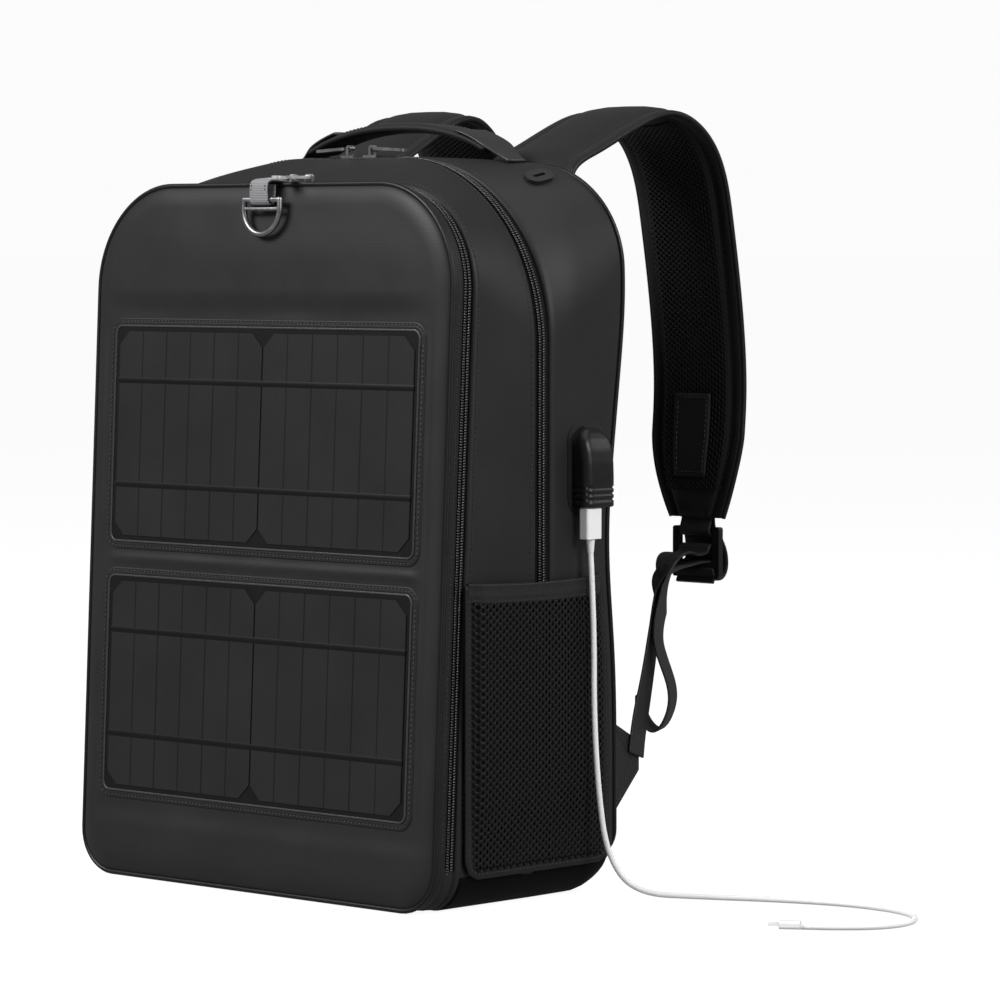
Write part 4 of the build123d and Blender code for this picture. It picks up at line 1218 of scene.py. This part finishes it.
def strap_profile(width, thick):
    """Padded section: a thin bound edge each side, a stitched groove, and a crowned middle."""
    half = width / 2
    across = [half, half - 0.9, half - 2.5, half - BINDING + 1.4, half - BINDING, half - BINDING - 1.6,
              half - BINDING - 5, half * 0.35]
    height = [0.0, 1.6, 2.1, 2.0, 1.25, 2.5, 3.9, thick / 2]
    top = list(zip(across, height)) + [(0.0, thick / 2 + 0.2)] + [(-a, h) for a, h in zip(across[::-1], height[::-1])]
    bottom = [(a, -h) for a, h in top[::-1]][1:-1]
    return np.array(top + bottom)


def make_strap(label, side):
    body = f"shoulder_strap_{label}"
    x = side * STRAP_X
    rows = 150
    line = smooth_curve([(side * a, b, c) for a, b, c in STRAP_PATH], rows)
    t = np.linspace(0, 1, rows)
    thick = STRAP_T + 1.2 - 5.5 * ease((t - 0.94) / 0.06) - 3.0 * ease((0.05 - t) / 0.05)
    widths = np.array([strap_width(k) for k in t])
    profiles = [strap_profile(w, h) for w, h in zip(widths, thick)]
    pad = swept(f"strap_pad_{label}", line, (1, 0, 0), profiles)
    put(pad, body, "strap_fabric", f"shoulder_strap_{label}")
    tangent, across, normal = sweep_frames(line, np.broadcast_to([1.0, 0.0, 0.0], line.shape))
    inward = np.where(np.sum(normal * np.array([0.0, -1.0, -0.25]), axis=1, keepdims=True) > 0, normal, -normal)
    run = lengths(line)

    def inner(s, v):
        at = np.stack([np.interp(v, run, line[:, k]) for k in range(3)], axis=1)
        sideways = np.stack([np.interp(v, run, across[:, k]) for k in range(3)], axis=1)
        down = unit(np.stack([np.interp(v, run, inward[:, k]) for k in range(3)], axis=1))
        limit = np.interp(v, run, widths) / (2 * STRAP_W / 2)
        room = STRAP_W - 2 * BINDING
        off = (s - room / 2) * limit * (1 - 0.06)
        depth = np.interp(v, run, thick) / 2 + 0.55 - 2.6 * np.clip(np.abs(s / room * 2 - 1) - 0.55, 0, 1) ** 1.2 * 1.6
        return at + sideways * off[:, None] + down * depth[:, None]

    start = 0.30 * run[-1]
    room = STRAP_W - 2 * BINDING

    def lower(s, v):
        return inner(s, v + start)

    mesh = net(f"strap_net_{label}", room, run[-1] * 0.655, 3.5, 0.85, (2.3, 2.2), lower, 0.7)
    put(mesh, body, "net")
    middle, length = room / 2, run[-1]
    vs, ss = np.linspace(length - 78, length - 26, 20), np.linspace(middle - 15, middle + 15, 12)
    flat = np.array([inner(ss, np.full(12, v)) for v in vs])
    lifted = flat + np.interp(vs, run, inward[:, 1])[:, None, None] * np.array([0.0, 0.9, 0.0])
    patch = grid_object(f"strap_patch_{label}", lifted)
    solidify(patch, 1.2, offset=0.0)
    put(patch, body, "strap_fabric")
    ring = np.vstack([lifted[1:-1, 1], lifted[-2, 1:-1], lifted[-2:1:-1, -2], lifted[1, -2:0:-1]])
    row = stitches(f"patch_stitches_{label}", ring + np.array([0, -0.7, 0]), (0, -1, 0))
    put(row, body, "thread")
    for edge in (-1, 1):
        seam = line + across * (edge * (widths / 2 - BINDING + 0.2))[:, None]
        for where, way in (("in", inward), ("out", -inward)):
            name = f"strap_stitches_{label}_{'left' if edge < 0 else 'right'}_{where}"
            row = stitches(name, (seam + way * 1.5)[8:-6], way[8:-6])
            put(row, body, "thread")
        rim = line + across * (edge * (widths / 2 - 0.4))[:, None]
        cord = tube(f"strap_edge_{label}_{'left' if edge < 0 else 'right'}", rim, 1.7, 8, closed=False)
        put(cord, body, "piping")
    loop = [(226.0, 222.0), (225.6, 215.5)]
    for k in range(11):
        a = math.radians(150 + 240 * k / 10)
        loop.append((LOCK_Y + 3.2 * math.cos(a), LOCK_Z + 3.2 * math.sin(a)))
    loop += [(228.4, 215.5), (228.0, 222.0)]
    wrap = swept(f"strap_end_loop_{label}", smooth_curve([(x, y, z) for y, z in loop], 60), (1, 0, 0),
                 rounded_profile(25.0, 1.5, 0.35, 16))
    put(wrap, body, "webbing")
    grab = [(231.5, 204), (234.6, 196), (235.4, 187), (233.0, 179.5), (228.6, 177.2), (225.0, 179.6), (224.0, 184)]
    widths_tab = 30 + 5 * np.sin(math.pi * np.linspace(0, 1, 40))
    tab = swept(f"lock_grab_tab_{label}", smooth_curve([(x, y, z) for y, z in grab], 40), (1, 0, 0),
                [rounded_profile(w, 2.4, 0.4, 20) for w in widths_tab])
    put(tab, f"ladder_lock_{label}", "strap_fabric")


# ---- webbing ----------------------------------------------------------------------------------------------------------
LOAD_PATH = [(139.2, 113, 78), (137.6, 117, 92), (133, 127, 110), (125, 143, 137), (113, 163, 163),
             (102, 184, 181), (94, 206, 187)]
TAIL_PATH = [(93, 208, 193.5), (104.5, 185.5, 187), (116.5, 165, 168), (128, 148, 140),
             (134.5, 151, 118), (134, 150, 100), (127, 146, 90), (120, 142, 98), (118.5, 141, 112)]


def webbing(name, label, side, points, finish, *nodes):
    """Strip that lies flat at the lock and turns edge-on as it runs forward to the bag."""
    line = smooth_curve(points, 120)
    first = np.clip((215 - line[:, 1]) / 50, 0, 1)
    last = np.clip((150 - line[:, 1]) / 40, 0, 1)
    angle = np.radians(180 - 60 * first - 10 * last)
    across = np.stack([side * np.cos(angle), np.sin(angle), 0 * angle], axis=1)
    strip = swept(name, line, across, rounded_profile(WEB_W, WEB_T + 0.3, 0.3, 20))
    give(strip, finish)
    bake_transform(strip)
    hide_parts(*nodes)


def make_webbing(label, side):
    x, mid_z, wrap = side * STRAP_X, LOCK_Z - BAR_STEP, 3.65
    load = [(side * a, b, c) for a, b, c in LOAD_PATH]
    load += [(x, LOCK_Y - 4, mid_z - 6.8), (x, LOCK_Y + 2.6, mid_z - 5.6), (x, LOCK_Y + wrap, mid_z - 1)]
    webbing(f"load_webbing_{label}", label, side, load, "webbing", f"webbing_{label}")
    tail = []
    for k in range(9):
        a = math.pi * k / 8
        tail.append((x, LOCK_Y + wrap * math.cos(a), mid_z + wrap * math.sin(a)))
    tail += [(x, LOCK_Y - wrap - 2.4, mid_z - 1.4)] + [(side * a, b, c) for a, b, c in TAIL_PATH]
    webbing(f"free_webbing_{label}", label, side, tail, "webbing", f"webbing_tail_{label}")

    inward = np.array([-side * 0.34, 0.94, 0.0])
    inward /= np.linalg.norm(inward)
    origin = np.array([side * 148.5, BACK_Y + 4.4, 74.0])
    us, vs = np.linspace(-3, 42, 24), np.linspace(0, 1, 20)
    low, high = np.interp(us, [-3, 0, 42], [-29, -28, -6]), np.interp(us, [-3, 0, 42], [28, 27, 12])
    out = np.cross(inward, [0, 0, 1]) * side
    flat = np.array([[origin + inward * u + np.array([0, 0, a + (b - a) * v]) for v in vs]
                     for u, a, b in zip(us, low, high)])
    patch = grid_object(f"anchor_patch_{label}", flat)
    solidify(patch, 2.6, offset=0.0)
    bevel(patch, 0.5, 2)
    put(patch, "bag", "strap_fabric", f"strap_anchor_{label}")
    for name, face in (("outer", 1.45), ("inner", -1.45)):
        corners = [(4, -22), (4, 22), (37, 10), (37, -5), (4, -22), (37, 10), (4, 22), (37, -5)]
        line = []
        for (u0, v0), (u1, v1) in zip(corners, corners[1:]):
            line += [origin + inward * (u0 + (u1 - u0) * k / 20) + np.array([0, 0, v0 + (v1 - v0) * k / 20])
                     + out * face for k in range(20)]
        row = stitches(f"anchor_stitches_{label}_{name}", line, out * np.sign(face))
        put(row, "bag", "thread")


# ---- back padding ---------------------------------------------------------------------------------------------------
def cushion(name, x, z, width, height, corner, near, far):
    """Closed pad with rounded corners, thinner at its seam."""
    loops = []
    levels = [(0.0, near), (0.0, near + 1.2), (1.2, near + 2.8), (4.0, far - 2.2), (9.0, far - 0.9), (18.0, far)]
    for inset, y in levels:
        w, h, r = width / 2 - inset, height / 2 - inset, max(4.0, corner - inset)
        ring = []
        for cx, cz, start in ((1, 1, 0), (-1, 1, 90), (-1, -1, 180), (1, -1, 270)):
            for k in range(9):
                a = math.radians(start + 90 * k / 8)
                ring.append((x + cx * (w - r) + r * math.cos(a), y, z + cz * (h - r) + r * math.sin(a)))
        loops.append(ring)
    points = np.array(loops)
    rows, cols = points.shape[:2]
    faces = grid_faces(rows, cols, wrap_cols=True)
    faces += [tuple(range(cols))[::-1], tuple(range((rows - 1) * cols, rows * cols))]
    return new_object(name, points.reshape(-1, 3), faces)


def baked(obj):
    """The object's mesh with its modifiers applied."""
    graph = bpy.context.evaluated_depsgraph_get()
    mesh = bpy.data.meshes.new_from_object(obj.evaluated_get(graph))
    obj.modifiers.clear()
    obj.data = mesh
    return obj


def coordinates(obj):
    flat = np.empty(len(obj.data.vertices) * 3)
    obj.data.vertices.foreach_get("co", flat)
    return flat.reshape(-1, 3) / MM


def set_coordinates(obj, points):
    obj.data.vertices.foreach_set("co", (points * MM).ravel())
    obj.data.update()


def inflate(obj, near, cap):
    """Cloth simulation of a pad under pressure; its back stays where it is sewn."""
    remesh = obj.modifiers.new("voxels", "REMESH")
    remesh.mode, remesh.voxel_size, remesh.use_smooth_shade = "VOXEL", 4.0 * MM, True
    baked(obj)
    before = coordinates(obj)
    pins = obj.vertex_groups.new(name="sewn")
    pins.add([int(k) for k in np.nonzero(before[:, 1] < near + 1.4)[0]], 1.0, "REPLACE")
    cloth = obj.modifiers.new("cloth", "CLOTH")
    cloth.settings.vertex_group_mass = "sewn"
    cloth.settings.use_pressure, cloth.settings.uniform_pressure_force = True, 4.0
    cloth.settings.effector_weights.gravity = 0.0
    cloth.settings.quality = 5
    cloth.settings.tension_stiffness = cloth.settings.compression_stiffness = 25.0
    scene = bpy.context.scene
    for step in range(1, 21):
        scene.frame_set(step)
    graph = bpy.context.evaluated_depsgraph_get()
    mesh = bpy.data.meshes.new_from_object(obj.evaluated_get(graph))
    obj.modifiers.clear()
    obj.data = mesh
    scene.frame_set(1)
    after = coordinates(obj)
    move = after - before
    far = np.linalg.norm(move, axis=1, keepdims=True)
    set_coordinates(obj, before + move * np.minimum(1, cap / np.maximum(far, 1e-6)))
    subdivide(obj, 1)
    return baked(obj)


def pad_channels(points, lines, depth, near):
    """Presses sewn channels into a pad; lines are (axis, place) pairs with axis 0 across, 2 up."""
    for axis, at in lines:
        press = np.exp(-((points[:, axis] - at) / 2.6) ** 2)
        proud = np.clip(points[:, 1] - near - 1.5, 0, None)
        points[:, 1] -= np.minimum(depth, proud * 0.8) * press
    return points


def make_back_pads():
    near, far = BACK_Y + 3.6, BACK_Y + 9.6
    pads = {"back_pad_left": (-72, 290, 104, 200, 22, [(2, 240), (2, 290), (2, 340)]),
            "back_pad_right": (72, 290, 104, 200, 22, [(2, 240), (2, 290), (2, 340)]),
            "lumbar_cushion": (0, 108, 248, 128, 24, [(0, -62), (0, 0), (0, 62)])}
    for name, (x, z, w, h, r, lines) in pads.items():
        pad = cushion(name, x, z, w - 3, h - 3, r, near, far)
        inflate(pad, near, 5.0)
        set_coordinates(pad, pad_channels(coordinates(pad), lines, 4.0, near))
        pad.data.polygons.foreach_set("use_smooth", [True] * len(pad.data.polygons))
        if name == "lumbar_cushion":
            put(pad, "bag", "pad_mesh", "lumbar_pad")
        elif name == "back_pad_left":
            put(pad, "bag", "pad_mesh", "back_pads")
        else:
            put(pad, "bag", "pad_mesh")
        ring = []
        for cx, cz, start in ((1, 1, 0), (-1, 1, 90), (-1, -1, 180), (1, -1, 270)):
            for k in range(9):
                a = math.radians(start + 90 * k / 8)
                ring.append((x + cx * (w / 2 - r) + r * math.cos(a), near + 0.6, z + cz * (h / 2 - r) + r * math.sin(a)))
        ring = np.array(ring)
        dense = []
        for a, b in zip(ring, np.roll(ring, -1, 0)):
            n = max(1, int(np.linalg.norm(b - a) / 4))
            dense += [a + (b - a) * k / n for k in range(n)]
        pipe = tube(f"{name}_piping", np.array(dense), 1.5, 8)
        put(pipe, "bag", "piping")


def make_yoke():
    near = BACK_Y + 3.1
    xs = np.linspace(-126, 126, 100)
    path = np.stack([xs, np.full(100, near + 2.4), np.full(100, 411.0)], axis=1)
    yoke = swept("yoke_band", path, (0, 0, 1), rounded_profile(24.0, 4.2, 0.45, 24))
    put(yoke, "bag", "strap_fabric", "strap_yoke")
    for name, z in (("low", 402.6), ("high", 419.4)):
        line = path + np.array([0, 2.15, z - 411])
        row = stitches(f"yoke_stitches_{name}", line, (0, 1, 0))
        put(row, "bag", "thread")


# ---- insides ----------------------------------------------------------------------------------------------------------
def make_linings():
    out = ring_out(MAIN)
    front = [face_ring(GUSSET, -3.4, d) for d in (23.0, 30.0)]
    back = upright_ring(MAIN, -3.4, ZIP2_Y - 6)
    rows = front + [front[1] * (1 - t) + back * t for t in np.linspace(0.1, 1, 10)]
    lining = grid_object("gusset_lining", np.array(rows), wrap_cols=True)
    put(lining, "bag", "lining")
    start, end = upright_ring(MAIN, -3.4, ZIP2_Y + 8), upright_ring(BACK, -3.4, BACK_Y - 1)
    rows = [start * (1 - t) + end * t for t in np.linspace(0, 1, 12)]
    lining = grid_object("rear_lining", heel(np.array(rows)), wrap_cols=True)
    put(lining, "bag", "lining")

    def divider_y(x, z):
        inside = inside_distance(x, z, MAIN)
        return 3.0 - 0.5 * ease((inside - 8) / 30)

    sheet = plate("divider_cloth", MAIN, 7.6, divider_y, 90, 70)
    solidify(sheet, 2.6, offset=-1.0)
    put(sheet, "bag", "lining", "compartment_divider")


def patch_pocket(name, x, low, width, height, y, depth, facing, node=None):
    """Sewn-on pocket: flat at its sides and foot, open and slightly slack at its top."""
    us, vs = dense_ends(50, 0.6), dense_ends(50, 0.6)
    u, v = np.meshgrid(us, vs)
    sides = ease(np.minimum(u, 1 - u) * width / 14)
    foot = ease(v * height / 14)
    stand = depth * sides * foot * (0.8 + 0.2 * v) + 0.4
    sag = 2.5 * np.sin(math.pi * u) * v
    points = np.stack([x - width / 2 + u * width, y + facing * stand, low + v * height - sag], axis=-1)
    skin = grid_object(name, points, flip=facing > 0)
    solidify(skin, 1.2, offset=-1.0)
    put(skin, "bag", "lining", *([node] if node else []))
    top = points[-1] + np.array([0, facing * 0.2, 0])
    hem = swept(f"{name}_hem", top, (0, facing, 0.001), rounded_profile(2.6, 9.0, 0.4, 16))
    put(hem, "bag", "ribbon_dark")
    edge = np.concatenate([points[::-1, 1], points[1, 1:-1], points[:, -2]])
    row = stitches(f"{name}_stitches", edge + np.array([0, facing * 0.35, 0]), (0, facing, 0))
    put(row, "bag", "thread")


def make_insides():
    make_linings()
    patch_pocket("organiser_left", -60, 30, 112, 163, -0.1, 7.5, -1, "organiser_pockets")
    patch_pocket("organiser_right", 60, 30, 112, 163, -0.1, 7.5, -1)
    patch_pocket("laptop_pocket", 0, 22, 276, 246, BACK_Y - 3, 21, -1, "laptop_sleeve")
    patch_pocket("battery_pocket", 85, 60, 94, 118, 3.4, 15, 1, "power_bank_pocket")


def make_cover_lining():
    half, top, r_top, r_foot, foot = COVER
    inset = 4.0
    ups = foot + inset + (top - foot - 2 * inset) * dense_ends(70, 0.7)
    r_high, r_low = r_top - inset, r_foot - inset
    corner = np.where(ups > top - r_top, np.sqrt(np.clip(r_high ** 2 - (ups - top + r_top) ** 2, 0, None)) - r_high,
                      np.where(ups < foot + r_foot,
                               np.sqrt(np.clip(r_low ** 2 - (foot + r_foot - ups) ** 2, 0, None)) - r_low, 0))
    x = (2 * dense_ends(60, 0.7) - 1)[None, :] * (half - inset + corner)[:, None]
    up = np.broadcast_to(ups[:, None], x.shape)
    depth = face_depth(x, up) + 3.0
    piece = grid_object("cover_lining", on_face(x, up, -depth), flip=True)
    bend_at_fold(piece, "lining")


make_camera()
make_materials()
make_lead()
make_lights()
make_floor()
make_cover_face()
make_cover_rim()
for panel_name, panel_low in PANEL_LOW.items():
    make_panel(panel_name, panel_low)
make_front_zip()
make_main_zip()
make_gusset()
make_rear_shell()
make_seam_bands()
make_back_panel()
for side_name, side_sign in SIDES.items():
    make_pocket(side_name, side_sign)
    make_strap(side_name, side_sign)
    make_webbing(side_name, side_sign)
make_port()
make_fittings()
make_ring_ribbon()
make_handle()
make_back_pads()
make_yoke()
make_insides()
make_cover_lining()
